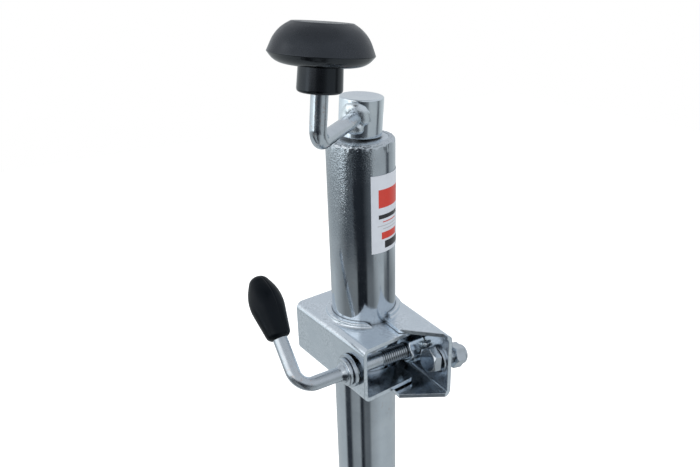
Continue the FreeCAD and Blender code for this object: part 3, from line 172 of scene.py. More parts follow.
zincLook = {
    "bright": (0.58, 0.63, 0.68),      # clean plating
    "dull": (0.52, 0.57, 0.62),        # matt clouds in the plating
    "stain": (0.16, 0.17, 0.18),       # dark specks and rubbed spots
    "fleck": (0.17, 0.21, 0.24),       # pits of the orange peel and of the sheet's grain
    "copper": (0.52, 0.36, 0.30),      # blotches where the plating is thin
    "paintedCornerShade": (0.10, 0.105, 0.11),      # painted shade in the corners
    "brightest": 0.97,
    "mottleFine": (0.42, 0.62), "mottleClouds": (0.42, 0.68),     # bands of the two noises
    # reach of the ambient occlusion, and the two ranges of it over which corners take painted
    # shade, the deep one at its own strength
    "cornerSize": 0.008, "shaded": (0.15, 0.8), "deep": (0.03, 0.26), "deepPaintedShade": 0.88,
    "bumpUnit": 0.000012,
}
zincNoise = {
    "clouds": dict(scale=45, detail=4, roughness=0.6),
    "fine": dict(detail=2, roughness=0.6),
    "drawn": dict(scale=900, roughness=0.6, stretch=(1, 1, 0.012)),
    "wave": dict(scale=75, detail=2, roughness=0.5),
    "specks": dict(scale=620, roughness=0.65, shift=(0.3, 0.1, 0.7), band=(0.66, 0.74)),
    "patches": dict(scale=28, roughness=0.5, shift=(0.9, 0.4, 0.2), band=(0.48, 0.66)),
    "thin": dict(scale=420, roughness=0.7, shift=(0.7, 0.3, 0.5), band=(0.56, 0.66)),
    "zones": dict(scale=36, detail=2, roughness=0.5, shift=(0.2, 0.6, 0.1), band=(0.45, 0.62)),
    "rubbed": dict(scale=130, detail=4, roughness=0.6, shift=(0.2, 0.8, 0.5), band=(0.35, 0.65)),
    "peel": dict(scale=850, detail=2, roughness=0.6, shift=(0.4, 0.2, 0.1)),
    "fleck": dict(scale=1150, detail=2, roughness=0.6, shift=(0.1, 0.5, 0.3), band=(0.40, 0.60)),
    "spots": dict(scale=95, roughness=0.6, stretch=(1, 1, 0.5), shift=(0.35, 0.0, 0.62),
                  band=(0.57, 0.62)),
}
# marks on the post, from one value to another of height, Y or radii to the left
postMarks = {
    "leftward": (-0.866 / 0.024, 0.5 / 0.024),      # the picture's left, in post radii
    "peelSide": {"left": (0.05, 0.5), "height": (0.05, 0.15)},
    "peelTop": {"left": (-0.5, -0.1), "height": (0.118, 0.148)},
    "peelRise": 16, "peelFlecks": 0.5,
    "blotchHeight": (-0.155, -0.115), "blotchFront": (-0.012, -0.004), "blotches": 0.65,
    "mattTop": (0.75, 0.97), "mattRise": 0.28,      # faces that look up are rougher
}


def makeZinc(name, rough, grain, cloud=0.16, streak=0.0, speck=0.8, paintedCornerShade=0.5, soft=0.0005,
             tone=1.0, copper=0.0, wave=0.0, fineness=1500, mottle=0.0, post=False):
    # grain, streak and wave are heights, cloud is how far the clouds blend, soft is the radius
    # that edges seem to have, and speck, copper and mottle are strengths, as is the painted corner
    # shade
    material, shader, where = startMaterial(name, Metallic=1.0)

    def pattern(kind, **more):
        return noiseOf(where, **zincNoise[kind], **more)

    clouds, fine = pattern("clouds"), pattern("fine", scale=fineness)
    dull, bright = ([min(channel * tone, zincLook["brightest"]) for channel in zincLook[key]]
                    for key in ("dull", "bright"))
    colour = mixColours(spread(clouds, 0.5 - cloud, 0.5 + cloud), dull, bright)
    specks = times(pattern("specks"), pattern("patches", reach=(0, speck)))
    colour = mixColours(specks, colour, zincLook["stain"])
    if mottle:
        grainy = times(spread(fine, *zincLook["mottleFine"], 0, mottle),
                       spread(clouds, *zincLook["mottleClouds"]))
        colour = mixColours(grainy, colour, zincLook["fleck"])
    if copper:
        thin = times(pattern("thin"), pattern("zones", reach=(0, copper)))
        colour = mixColours(thin, colour, zincLook["copper"])
    roughness = pattern("rubbed", reach=rough)
    heights = calc("ADD", times(fine, grain), times(pattern("drawn"), streak))
    if wave:
        heights = calc("ADD", heights, times(pattern("wave"), wave))
    if post:
        colour = addBlotches(where, colour)
        peeled = peelMask(where)
        heights = calc("ADD", heights, times(pattern("peel"), peeled, postMarks["peelRise"]))
        flecks = times(pattern("fleck"), peeled, postMarks["peelFlecks"])
        colour = mixColours(flecks, colour, zincLook["fleck"])
        matt = spread(facingUp(where), *postMarks["mattTop"], 0, postMarks["mattRise"])
        roughness = calc("ADD", roughness, matt)
    # painted shade: the colour darkens where ambient occlusion finds little light getting in
    airy = put(where.id_data, "ShaderNodeAmbientOcclusion", {"Distance": zincLook["cornerSize"]},
               samples=16).outputs["AO"]
    cornerShadeMask = calc("MAXIMUM", spread(airy, *zincLook["shaded"], paintedCornerShade, 0),
                spread(airy, *zincLook["deep"], zincLook["deepPaintedShade"], 0))
    colour = mixColours(cornerShadeMask, colour, zincLook["paintedCornerShade"])
    edges = put(where.id_data, "ShaderNodeBevel", {"Radius": soft}, samples=4).outputs[0]
    normal = bumpOf(heights, zincLook["bumpUnit"], edges)
    return finished(material, shader, colour, roughness, normal)


def postParts(where):
    # where a point of the post lies: radii to the picture's left, height, and Y
    parts = axesOf(where)
    sideways = calc("ADD", parts["X"], -tubeAxis.x)
    leftX, leftY = postMarks["leftward"]
    left = calc("ADD", times(sideways, leftX), times(parts["Y"], leftY))
    return left, parts["Z"], parts["Y"]


def peelMask(where):
    # an orange-peel patch in the plating, under the rolled edge and down one side
    left, height, _ = postParts(where)
    side, top = (times(spread(left, *mark["left"]), spread(height, *mark["height"]))
                 for mark in (postMarks["peelSide"], postMarks["peelTop"]))
    return calc("MAXIMUM", side, top)


def addBlotches(where, colour):
    # copper blotches low on the front of the post
    _, height, forward = postParts(where)
    low = spread(height, *postMarks["blotchHeight"], 1, 0)
    facing = spread(forward, *postMarks["blotchFront"], 1, 0)
    spots = noiseOf(where, **zincNoise["spots"])
    mask = times(low, facing, spots, postMarks["blotches"])
    return mixColours(mask, colour, zincLook["copper"])


# Plastic

plasticLook = {
    "tint": (0.78, 0.88, 1.0, 1), "shade": 0.75, "dustShade": 4, "roughStep": 0.06,
    "clouds": dict(scale=60, detail=4, roughness=0.6, band=(0.35, 0.65)),
    "dust": dict(scale=1100, detail=2, roughness=0.5, shift=(0.1, 0.6, 0.3), band=(0.70, 0.78),
                 reach=(0, 0.25)),
    "rubbed": dict(scale=180, roughness=0.6, band=(0.3, 0.7)),
    "grain": dict(roughness=0.6),
    # faces whose normal Z lies in the underside range are polished and take painted shade; the boss
    # below its height is polished and darkened
    "bossHeight": 0.0195, "bossBlend": 0.001, "underside": (-0.30, -0.04),
    "bossDarkeningAndUndersideShade": 0.12, "bossRough": 0.5,
}


def makePlastic(name, colour, rough, grainScale, grainDepth, gloss=0.45, bossTop=None):
    look = plasticLook
    material, shader, where = startMaterial(
        name, Specular_IOR_Level=gloss, Specular_Tint=look["tint"])
    tint = mixColours(noiseOf(where, **look["clouds"]), scaled(colour, look["shade"]), colour)
    tint = mixColours(noiseOf(where, **look["dust"]), tint, scaled(colour, look["dustShade"]))
    roughness = noiseOf(where, **look["rubbed"],
                        reach=(rough - look["roughStep"], rough + look["roughStep"]))
    if bossTop:
        # the boss and the underside are polished by the mould, the dome is worn and dusty; the boss
        # is darkened and faces that look down get painted shade
        height = axesOf(where)["Z"]
        boss = spread(height, bossTop - look["bossBlend"], bossTop + look["bossBlend"], 1, 0)
        smooth = calc("MAXIMUM", boss, spread(facingUp(where), *look["underside"], 1, 0))
        roughness = times(roughness, spread(smooth, 0, 1, 1, look["bossRough"]))
        tint = mixColours(smooth, tint, scaled(colour, look["bossDarkeningAndUndersideShade"]))
    normal = bumpOf(noiseOf(where, grainScale, **look["grain"]), grainDepth)
    return finished(material, shader, tint, roughness, normal)


# Label

labelLook = {
    "paper": (0.54, 0.575, 0.63),
    "red": (0.50, 0.034, 0.020),
    "black": (0.016, 0.016, 0.019),
    "grey": (0.36, 0.37, 0.39),
    "shade": 0.96, "coat": 0.25, "coatRough": 0.2, "grainDepth": 0.00002,
    "clouds": dict(scale=160, band=(0.3, 0.7)),
    "grain": dict(scale=700, detail=2),
    "rubbed": dict(scale=220, band=(0.3, 0.7), reach=(0.34, 0.44)),
    "radius": 0.0243, "start": -106,      # the bars are counted from here, degrees from +X
    # printed bars: start and end along the label, low and high from its foot, and their ink
    "bars": (
        (0.0055, 0.0330, 0.0330, 0.0460, "red"),
        (0.0055, 0.0262, 0.0250, 0.0280, "black"),
        (0.0090, 0.0235, 0.0222, 0.0230, "red"),
        (0.0045, 0.0280, 0.0196, 0.0202, "grey"),
        (0.0090, 0.0235, 0.0172, 0.0178, "grey"),
        (0.0078, 0.0245, 0.0098, 0.0150, "red"),
        (0.0105, 0.0320, 0.0028, 0.0082, "black"),
    ),
}


def makeLabel():
    look = labelLook
    material, shader, where = startMaterial(
        "labelPaper", Coat_Weight=look["coat"], Coat_Roughness=look["coatRough"])
    parts = axesOf(where)
    sideways = calc("ADD", parts["X"], -tubeAxis.x)
    angle = calc("ARCTAN2", parts["Y"], sideways)
    along = times(calc("SUBTRACT", angle, radians(look["start"])), look["radius"])
    height = calc("SUBTRACT", parts["Z"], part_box("label")[0].z)
    clouds = noiseOf(where, **look["clouds"])
    colour = mixColours(clouds, scaled(look["paper"], look["shade"]), look["paper"])
    for start, end, foot, top, ink in look["bars"]:
        inside = [calc("GREATER_THAN", along, start), calc("LESS_THAN", along, end),
                  calc("GREATER_THAN", height, foot), calc("LESS_THAN", height, top)]
        colour = mixColours(times(*inside), colour, look[ink])
    normal = bumpOf(noiseOf(where, **look["grain"]), look["grainDepth"])
    return finished(material, shader, colour, noiseOf(where, **look["rubbed"]), normal)


# Rubber and bearing metal: two cloudy colours, a fine grain and a roughness that varies

rubberLook = {
    "clouds": dict(scale=35, detail=5, roughness=0.6, band=(0.3, 0.7)),
    "grain": dict(scale=1400, detail=4, roughness=0.7), "grainDepth": 0.00008,
    "rubbed": dict(scale=90, roughness=0.6, band=(0.3, 0.7)),
}
steelLook = {
    "clouds": dict(scale=80, detail=4, band=(0.35, 0.65)),
    "grain": dict(scale=900), "grainDepth": 0.00003,
    "rubbed": dict(scale=240, band=(0.3, 0.7)),
}


def makePlain(name, look, dark, pale, rough, **constants):
    material, shader, where = startMaterial(name, **constants)
    colour = mixColours(noiseOf(where, **look["clouds"]), dark, pale)
    normal = bumpOf(noiseOf(where, **look["grain"]), look["grainDepth"])
    roughness = noiseOf(where, **look["rubbed"], reach=rough)
    return finished(material, shader, colour, roughness, normal)


# All finishes, and the nodes that have them

# in the zinc finishes, one strength sets how far painted shade darkens the corners
materials = {
    "sheet": makeZinc("zincSheet", (0.15, 0.26), grain=4.2, cloud=0.12, streak=0.6, speck=1.0,
                      paintedCornerShade=0.36, soft=0.0007, tone=1.40, wave=16.0, fineness=620, mottle=0.26),
    "tube": makeZinc("zincTube", (0.08, 0.14), grain=0.35, cloud=0.18, streak=0.5, speck=0.7,
                     paintedCornerShade=0.85, copper=0.18, tone=1.15, post=True),
    "plate": makeZinc("zincPlate", (0.34, 0.46), grain=0.6, speck=0.9, tone=1.38),
    "rod": makeZinc("zincRod", (0.10, 0.19), grain=6.0, streak=0.2, copper=0.5, tone=1.14,
                    fineness=520),
    "leverRod": makeZinc("zincLever", (0.22, 0.32), grain=3.5, streak=0.4, speck=0.9, copper=0.45,
                         tone=1.08, fineness=520),
    "hub": makeZinc("zincHub", (0.12, 0.20), grain=0.4, tone=1.46),
    "bolt": makeZinc("zincBolt", (0.10, 0.20), grain=0.6, cloud=0.2, speck=1.0, paintedCornerShade=0.4,
                     tone=1.05),
    "nut": makeZinc("zincNut", (0.08, 0.16), grain=0.8, cloud=0.2, speck=1.0, paintedCornerShade=0.2,
                    soft=0.0009, tone=1.55),
    "thread": makeZinc("zincThread", (0.18, 0.28), grain=0.3, cloud=0.2, paintedCornerShade=0.9, soft=0.0001),
    "weld": makeZinc("zincWeld", (0.24, 0.36), grain=2.4, cloud=0.22, speck=1.0, paintedCornerShade=0.3,
                     tone=1.5, fineness=900),
    "rim": makeZinc("rimSteel", (0.28, 0.40), grain=0.5, cloud=0.15, speck=0.4, tone=1.2),
    "steel": makePlain("bearingSteel", steelLook, (0.45, 0.46, 0.47), (0.56, 0.57, 0.58),
                       (0.15, 0.27), Metallic=1.0),
    "brass": makePlain("cageBrass", steelLook, (0.6, 0.42, 0.18), (0.72, 0.52, 0.24),
                       (0.25, 0.37), Metallic=1.0),
    "plastic": makePlastic("knobPlastic", (0.011, 0.012, 0.015), 0.29, 1600, 0.00002, 0.62,
                           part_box("knob")[0].z + plasticLook["bossHeight"]),
    "grip": makePlastic("gripPlastic", (0.0012, 0.0022, 0.0036), 0.34, 1600, 0.00003, 0.2),
    "nylon": makePlastic("bushNylon", (0.028, 0.029, 0.030), 0.5, 1200, 0.00004),
    "rubber": makePlain("tyreRubber", rubberLook, (0.018, 0.018, 0.019), (0.034, 0.033, 0.032),
                        (0.62, 0.78), Specular_IOR_Level=0.35),
    "label": makeLabel(),
}

nodeFinishes = {
    "sheet": "fixed_jaw moving_jaw fork",
    "tube": "outer_tube inner_tube",
    "rod": "lever_rod crank_rod spindle stop_pin cross_pin axle_bolt",
    "hub": "crank_hub hinge_pin leg_plug",
    "plate": "top_plate",
    "nut": "clamp_nut",
    "bolt": "clamp_washer mounting_bolt mounting_washer mounting_nut axle_nut axle_washer_right "
            "axle_washer_left stop_washer pivot_washer knob_ring pivot_ring",
    "weld": "weld_bead",
    "rim": "rim_half_right rim_half_left rim_rivets wheel_hub",
    "steel": "upper_race lower_race thrust_balls",
    "brass": "ball_cage spindle_nut",
    "plastic": "knob knob_cap",
    "grip": "lever_grip",
    "nylon": "guide_bush swivel_washer wheel_bush_right wheel_bush_left",
    "rubber": "tyre",
    "label": "label",
}
for finish, names in nodeFinishes.items():
    for name in names.split():
        slots = nodes[name].material_slots
        if not slots:
            nodes[name].data.materials.append(materials[finish])
        for slot in slots:
            slot.material = materials[finish]
print("stage: materials made")


# Mesh helpers

def addObject(name, data):
    made = bpy.data.objects.new(name, data)
    bpy.context.scene.collection.objects.link(made)
    return made


def meshPiece(name, place, shape, finish, body):
    points, faces = shape
    mesh = bpy.data.meshes.new(name)
    mesh.from_pydata([tuple(place @ point) for point in points], [], faces)
    mesh.validate()
    mesh.polygons.foreach_set("use_smooth", [True] * len(mesh.polygons))
    mesh.materials.append(materials[finish])
    return bodyPiece(name, mesh, body)


def bodyPiece(name, mesh, body):
    piece = addObject(name, mesh)
    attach(piece, body)
    return piece


def roundedLine(corners, steps=6):
    # corners: (across, up) or (across, up, rounding); the roundings become short arcs
    spots = [Vector(corner[:2]) for corner in corners]
    line = [spots[0]]
    for i, corner in enumerate(corners[1:-1], 1):
        if len(corner) < 3:
            line.append(spots[i])
            continue
        before = (spots[i - 1] - spots[i]).normalized()
        after = (spots[i + 1] - spots[i]).normalized()
        half = before.angle(after) / 2
        centre = spots[i] + (before + after).normalized() * corner[2] / sin(half)
        reach = corner[2] / tan(half)
        start, end = spots[i] + before * reach - centre, spots[i] + after * reach - centre
        swing = start.angle_signed(end)
        for k in range(steps + 1):
            turn = -swing * k / steps
            line.append(centre + Vector((start.x * cos(turn) - start.y * sin(turn),
                                         start.x * sin(turn) + start.y * cos(turn))))
    return line + [spots[-1]]


def steadied(line, closed=False):
    # extra points beside the corners, so that shading turns only there
    gap = 0.0003
    made = []
    for i, spot in enumerate(line):
        made.append(spot)
        if i == len(line) - 1 and not closed:
            break
        ahead = line[(i + 1) % len(line)] - spot
        if ahead.length > 4 * gap:
            made += [spot + ahead.normalized() * gap, spot + ahead * 0.5,
                     spot + ahead - ahead.normalized() * gap]
    return made


def turnsOf(count):
    return [2 * pi * k / count for k in range(count)]


def onCircle(radius, turn, height):
    return Vector((radius * cos(turn), radius * sin(turn), height))


def gridFaces(rows, columns, closedRows=False):
    # quads between rows of points that each run round
    faces = []
    for i in range(rows if closedRows else rows - 1):
        for j in range(columns):
            below, above = i * columns, (i + 1) % rows * columns
            after = (j + 1) % columns
            faces.append((below + j, below + after, above + after, above + j))
    return faces


def cappedFaces(rows, columns):
    last = (rows - 1) * columns
    caps = [tuple(reversed(range(columns))), tuple(range(last, last + columns))]
    return gridFaces(rows, columns) + caps


def turnedRings(outline, sides, reshape=None):
    # outline: (radius, height) pairs from the lower pole or edge outwards, turned about Z
    points = []
    for radius, height in outline:
        for turn in turnsOf(sides):
            point = onCircle(radius, turn, height)
            points.append(reshape(point, turn) if reshape else point)
    return points


nearAxis = 0.0001      # radius at a pole


def turnedSolid(outline, sides, reshape=None):
    # a solid whose outline starts and ends near the axis
    outline = steadied(outline)
    return turnedRings(outline, sides, reshape), cappedFaces(len(outline), sides)


def turnedRing(outline, sides, reshape=None):
    # a ring whose outline runs round a closed section, outside wall upwards first
    outline = steadied(outline, closed=True)
    return turnedRings(outline, sides, reshape), gridFaces(len(outline), sides, closedRows=True)


def sweptSolid(line, sides):
    # line: each centre with its direction, its width along Y and its height
    points, side = [], Vector((0, 1, 0))
    for centre, ahead, width, height in line:
        across = (side - ahead * side.dot(ahead)).normalized()
        upward = ahead.cross(across)
        for turn in turnsOf(sides):
            sideways, lift = across * cos(turn) * width, upward * sin(turn) * height
            points.append(centre + sideways + lift)
    return points, cappedFaces(len(line), sides)


def placeAt(x, y, z, *turns):
    place = Matrix.Translation((x, y, z))
    for axis, angle in turns:
        place = place @ Matrix.Rotation(radians(angle), 4, axis)
    return place


def bentBar(look):
    # centre line of a bar with one bend in its XZ plane: centres, directions and shares of the
    # bend, which are -1 before it and 2 after it
    ends = (look["start"], look["corner"], look["end"])
    start, corner, end = (Vector((x, 0, z)) for x, z in ends)
    first, second = (corner - start).normalized(), (end - corner).normalized()
    bend = pi - (-first).angle(second)
    reach = look["bend"] * tan(bend / 2)
    stops = []
    near, far = corner - first * reach, corner + second * reach
    for k in range(look["steps"]):
        stops.append((start.lerp(near, k / look["steps"]), first, -1.0))
    axis = first.cross(second).normalized()
    inward = axis.cross(first)
    for k in range(look["bendSteps"] + 1):
        share = k / look["bendSteps"]
        turn = Matrix.Rotation(bend * share, 3, axis)
        centre = near + inward * look["bend"]
        stops.append((centre - turn @ inward * look["bend"], turn @ first, share))
    for k in range(1, look["steps"] + 1):
        stops.append((far.lerp(end, k / look["steps"]), second, 2.0))
    return stops


# Geometry Nodes helpers

def startTree(name, sizes):
    tree = bpy.data.node_groups.new(name, "GeometryNodeTree")
    for socket, value in sizes.items():
        kind = "NodeSocketInt" if isinstance(value, int) else "NodeSocketFloat"
        tree.interface.new_socket(socket, in_out="INPUT", socket_type=kind).default_value = value
    tree.interface.new_socket("Finish", in_out="INPUT", socket_type="NodeSocketMaterial")
    tree.interface.new_socket("Geometry", in_out="OUTPUT", socket_type="NodeSocketGeometry")
    return tree, put(tree, "NodeGroupInput").outputs


def endTree(tree, geometry, finish):
    real = put(tree, "GeometryNodeRealizeInstances", {0: geometry})
    smooth = put(tree, "GeometryNodeSetShadeSmooth", {0: real})
    coated = put(tree, "GeometryNodeSetMaterial", {"Geometry": smooth, "Material": finish})
    put(tree, "NodeGroupOutput", {0: coated})


def grownPiece(name, tree, finish, place, body, **sizes):
    holder = addObject(name + "Holder", bpy.data.meshes.new(name + "Holder"))
    modifier = holder.modifiers.new(name, "NODES")
    modifier.node_group = tree
    wanted = {"Finish": materials[finish], **sizes}
    for item in tree.interface.items_tree:
        if item.in_out == "INPUT" and item.name in wanted:
            modifier[item.identifier] = wanted[item.name]
    graph = bpy.context.evaluated_depsgraph_get()
    mesh = bpy.data.meshes.new_from_object(holder.evaluated_get(graph), depsgraph=graph)
    holder.modifiers.clear()
    bpy.data.objects.remove(holder)
    mesh.name = name
    mesh.transform(place)
    return bodyPiece(name, mesh, body)


def makeThreadTree():
    tree, given = startTree("threadRidge", {
        "Core": 0.0052, "Depth": 0.0009, "Pitch": 0.00175, "Turns": 20.0})
    spiral = put(tree, "GeometryNodeCurveSpiral", {
        "Resolution": 40, "Rotations": given["Turns"], "Start Radius": given["Core"],
        "End Radius": given["Core"], "Height": times(given["Pitch"], given["Turns"])})
    upright = put(tree, "GeometryNodeSetCurveNormal", {0: spiral}, mode="Z_UP")
    diamond = put(tree, "GeometryNodeCurvePrimitiveCircle", {
        "Resolution": 4, "Radius": given["Depth"]}, mode="RADIUS")
    swept = put(tree, "GeometryNodeCurveToMesh", {
        "Curve": upright, "Profile Curve": diamond, "Fill Caps": True})
    endTree(tree, swept, given["Finish"])
    return tree


def makeRivetTree():
    tree, given = startTree("rivetHeads", {
        "Count": 6, "Circle": 0.030, "Head": 0.0052, "Rise": 0.0026, "Seat": 0.0020})
    heads = []
    for side in (1.0, -1.0):
        circle = put(tree, "GeometryNodeMeshCircle", {
            "Vertices": given["Count"], "Radius": given["Circle"]})
        ball = put(tree, "GeometryNodeMeshUVSphere", {"Segments": 24, "Rings": 12})
        flat = put(tree, "ShaderNodeCombineXYZ", {
            "X": given["Head"], "Y": given["Head"], "Z": given["Rise"]})
        shaped = put(tree, "GeometryNodeTransform", {"Geometry": ball, "Scale": flat})
        scattered = put(tree, "GeometryNodeInstanceOnPoints", {
            "Points": circle, "Instance": shaped})
        lift = put(tree, "ShaderNodeCombineXYZ", {"Z": times(given["Seat"], side)})
        heads.append(put(tree, "GeometryNodeTransform", {
            "Geometry": scattered, "Translation": lift}))
    joined = tree.nodes.new("GeometryNodeJoinGeometry")
    for head in heads:
        tree.links.new(head.outputs[0], joined.inputs[0])
    endTree(tree, joined, given["Finish"])
    return tree


threadTree = makeThreadTree()
rivetTree = makeRivetTree()
print("stage: trees for threads and rivets made")


# Post: the tube with its edge rolled in over the top plate

post = {
    "radius": 0.024, "wall": 0.002, "low": -0.1935, "high": 0.1565, "foot": 0.0003, "sides": 300,
    "edgeLow": 0.148, "rounding": 0.0026, "reach": 0.0045, "lip": 0.0018, "lipRounding": 0.0006,
    # dents of the rolled edge: their depth, where they begin, and the two noises that make them
    "dents": 0.00060, "dentLow": 0.1525, "dentRise": 0.002, "dentInside": 0.0196, "dentDrop": 0.5,
    "around": 9, "upward": 600, "finer": 2.3, "finerShare": 0.6, "level": 0.35,
}


def makePost():
    look = post
    radius, lip = look["radius"], look["high"] - look["lip"]
    inside, rim = radius - look["wall"], radius - look["reach"]
    edge = roundedLine([
        (radius, look["edgeLow"]), (radius, look["high"], look["rounding"]),
        (rim, look["high"], look["lipRounding"]), (rim, lip)], 12)
    low, foot = look["low"], look["foot"]
    outline = [Vector((radius - foot, low)), Vector((radius, low + foot))]
    outline += edge + [Vector((inside, lip)), Vector((inside, low))]

    def dented(point, turn):
        # the hammered look that rolling leaves at the edge
        share = max(0.0, min(1.0, (point.z - look["dentLow"]) / look["dentRise"]))
        if share == 0 or point.to_2d().length < look["dentInside"]:
            return point
        around = onCircle(look["around"], turn, point.z * look["upward"])
        coarse = noise.noise(around) + look["finerShare"] * noise.noise(around * look["finer"])
        out = point.to_2d().normalized()
        shove = look["dents"] * share * (coarse - look["level"])
        return point + Vector((out.x, out.y, look["dentDrop"])) * min(shove, 0.0)

    shape = turnedRing(outline, look["sides"], dented)
    piece = meshPiece("postTube", Matrix.Translation(tubeAxis), shape, "tube", "post")
    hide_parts("outer_tube")


makePost()


# Lever: threaded bent rod with a turned collar, and its grip with a parting line

lever = {
    "axis": (-0.030, -0.0346, 0.0), "turn": -43.8,
    "start": (0.0285, 0.0), "corner": (-0.0735, 0.0), "end": (-0.07442, 0.0755),
    "bend": 0.0125, "steps": 24, "bendSteps": 24, "pinch": 0.12, "bulge": 0.05, "radius": 0.0051,
    "core": 0.00512, "threadLow": -0.008, "threadHigh": 0.029, "lead": 0.0004, "pitch": 0.00175,
    "ridge": 0.00088, "sides": 40, "collarSides": 56,
    # the collar and the cone behind it: radius, distance from the collar's face, rounding
    "face": 0.035689,
    "collar": ((0.0045, 0.0), (0.0100, 0.0, 0.0007), (0.0100, 0.0032, 0.0011),
               (0.0073, 0.0032, 0.0003), (0.0069, 0.0042, 0.0005), (0.0053, 0.0066, 0.0010),
               (0.0049, 0.0082)),
}
grip = {
    "foot": 0.0365, "length": 0.0475, "footRadius": 0.0082, "footRounding": 0.0044, "tilt": -0.7,
    "belly": 0.0134, "bellyShare": 0.65, "bellyRounding": 0.65,
    "crown": 0.0052, "crownRounding": 1.4, "sides": 240,
    "bore": 0.00515, "boreDepth": 0.004, "boreRounding": 0.0004,
    "seam": (106.0, 286.0), "seamDepth": 0.00022, "seamWidth": 0.00045, "seamInside": 0.002,
}


def makeLever():
    place = placeAt(*lever["axis"], ("X", lever["turn"]))
    line = []
    for centre, ahead, share in bentBar(lever):
        radius = lever["core"] if centre.x > lever["threadLow"] else lever["radius"]
        bent = sin(pi * share) if 0 <= share <= 1 else 0.0
        line.append((centre, ahead, radius * (1 + lever["bulge"] * bent),
                     radius * (1 - lever["pinch"] * bent)))
    shape = sweptSolid(line, lever["sides"])
    rod = meshPiece("leverRod", place, shape, "leverRod", "lever")

    outline = roundedLine([(radius, lever["face"] + height, *rounding)
                           for radius, height, *rounding in lever["collar"]])
    shape = turnedSolid(outline, lever["collarSides"])
    collarPlace = place @ placeAt(0, 0, 0, ("Y", -90))
    collar = meshPiece("leverCollar", collarPlace, shape, "rod", "lever")

    threadPlace = place @ placeAt(lever["threadLow"] + lever["lead"], 0, 0, ("Y", 90))
    turns = (lever["threadHigh"] - lever["threadLow"]) / lever["pitch"] - 1
    thread = grownPiece("leverThread", threadTree, "thread", threadPlace, "lever",
                        Core=lever["core"], Depth=lever["ridge"], Pitch=lever["pitch"], Turns=turns)
    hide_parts("lever_rod")


def makeGrip():
    look = grip
    place = placeAt(*lever["axis"], ("X", lever["turn"]))
    place = place @ placeAt(lever["corner"][0], 0, 0, ("Y", look["tilt"]))
    low, length = look["foot"], look["length"]
    outline = roundedLine([
        (look["bore"], low + look["boreDepth"]), (look["bore"], low, look["boreRounding"]),
        (look["footRadius"], low, look["footRounding"]),
        (look["belly"], low + length * look["bellyShare"], length * look["bellyRounding"]),
        (look["crown"], low + length, look["crown"] * look["crownRounding"]),
        (nearAxis, low + length)], 22)
    seams = [radians(seam) for seam in look["seam"]]

    def parted(point, turn):
        # the two moulded halves meet in a fine groove
        nearest = min(abs((turn - seam + pi) % (2 * pi) - pi) for seam in seams)
        radius = point.to_2d().length
        width = look["seamWidth"] / max(radius, look["seamInside"])
        sunk = look["seamDepth"] * exp(-(nearest / width) ** 2)
        return Vector((point.x * (1 - sunk / radius), point.y * (1 - sunk / radius), point.z))

    shape = turnedSolid(outline, look["sides"], parted)
    piece = meshPiece("leverGrip", place, shape, "grip", "lever")
    piece.visible_glossy = False      # the tube would mirror it as a dark leaf
    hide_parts("lever_grip")


makeLever()
makeGrip()


# Crank: the bar with its flattened arm, and the lumpy weld that holds it

crank = {
    "hub": (-0.030, 0.0, 0.158), "heading": -139.3, "lean": -3.8, "lift": 0.0135,
    "hubRadius": 0.015,
    "start": (0.0084, 0.0), "corner": (0.080, 0.0), "end": (0.0755, 0.0607), "bend": 0.0088,
    "steps": 26, "bendSteps": 22, "radius": 0.005, "sides": 44,
    "wide": 1.09, "flat": 0.95, "pressedEnd": 0.066, "pressedBlend": 0.03,
}
weld = {
    "circle": 0.0064, "bead": 0.0042, "stand": 0.56, "around": 120, "across": 32,
    "lumps": 0.0008, "lumpScale": 1.6, "lumpSeed": 0.7,
    "ripples": 0.0003, "rippleScale": 2.2, "rippleReach": 0.45, "rippleRise": 1.1,
    "notch": -32.0, "notchWidth": 15.0, "notchDepth": 0.55,      # where the bead was left short
}


def makeCrank():
    place = placeAt(*crank["hub"], ("Z", crank["heading"]), ("X", crank["lean"]))
    place = place @ placeAt(0, 0, crank["lift"])
    line = []
    for centre, ahead, share in bentBar(crank):
        pressed = (crank["pressedEnd"] - centre.x) / crank["pressedBlend"]
        pressed = min(1.0, max(0.0, pressed)) if share < 0 else 0.0
        line.append((centre, ahead, crank["radius"] * (1 + (crank["wide"] - 1) * pressed),
                     crank["radius"] * (1 - (1 - crank["flat"]) * pressed)))
    shape = sweptSolid(line, crank["sides"])
    rod = meshPiece("crankBar", place, shape, "rod", "crank")
    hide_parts("crank_rod")

    points = []
    for turn in turnsOf(weld["around"]):
        for swing in turnsOf(weld["across"]):
            reach = weld["rippleScale"] * (1 + weld["rippleReach"] * cos(swing))
            lump = noise.noise(onCircle(weld["lumpScale"], turn, weld["lumpSeed"]))
            ripple = noise.noise(onCircle(reach, turn, sin(swing) * weld["rippleRise"]))
            apart = (degrees(turn) - weld["notch"] + 180) % 360 - 180
            notched = 1 - weld["notchDepth"] * exp(-(apart / weld["notchWidth"]) ** 2)
            bead = (weld["bead"] + weld["lumps"] * lump + weld["ripples"] * ripple) * notched
            radius = weld["circle"] + bead * cos(swing)
            across, upward = radius * cos(turn), radius * sin(turn)
            # the bead lies on the round side of the hub
            seat = sqrt(max(crank["hubRadius"] ** 2 - across ** 2, 0))
            points.append(Vector((seat + bead * sin(swing) * weld["stand"], across, upward)))
    faces = gridFaces(weld["around"], weld["across"], closedRows=True)
    faces = [tuple(reversed(face)) for face in faces]
    piece = meshPiece("crankWeld", place, (points, faces), "weld", "crank")
    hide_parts("weld_bead")


makeCrank()


# Nuts and the loose bolt, with turned corners

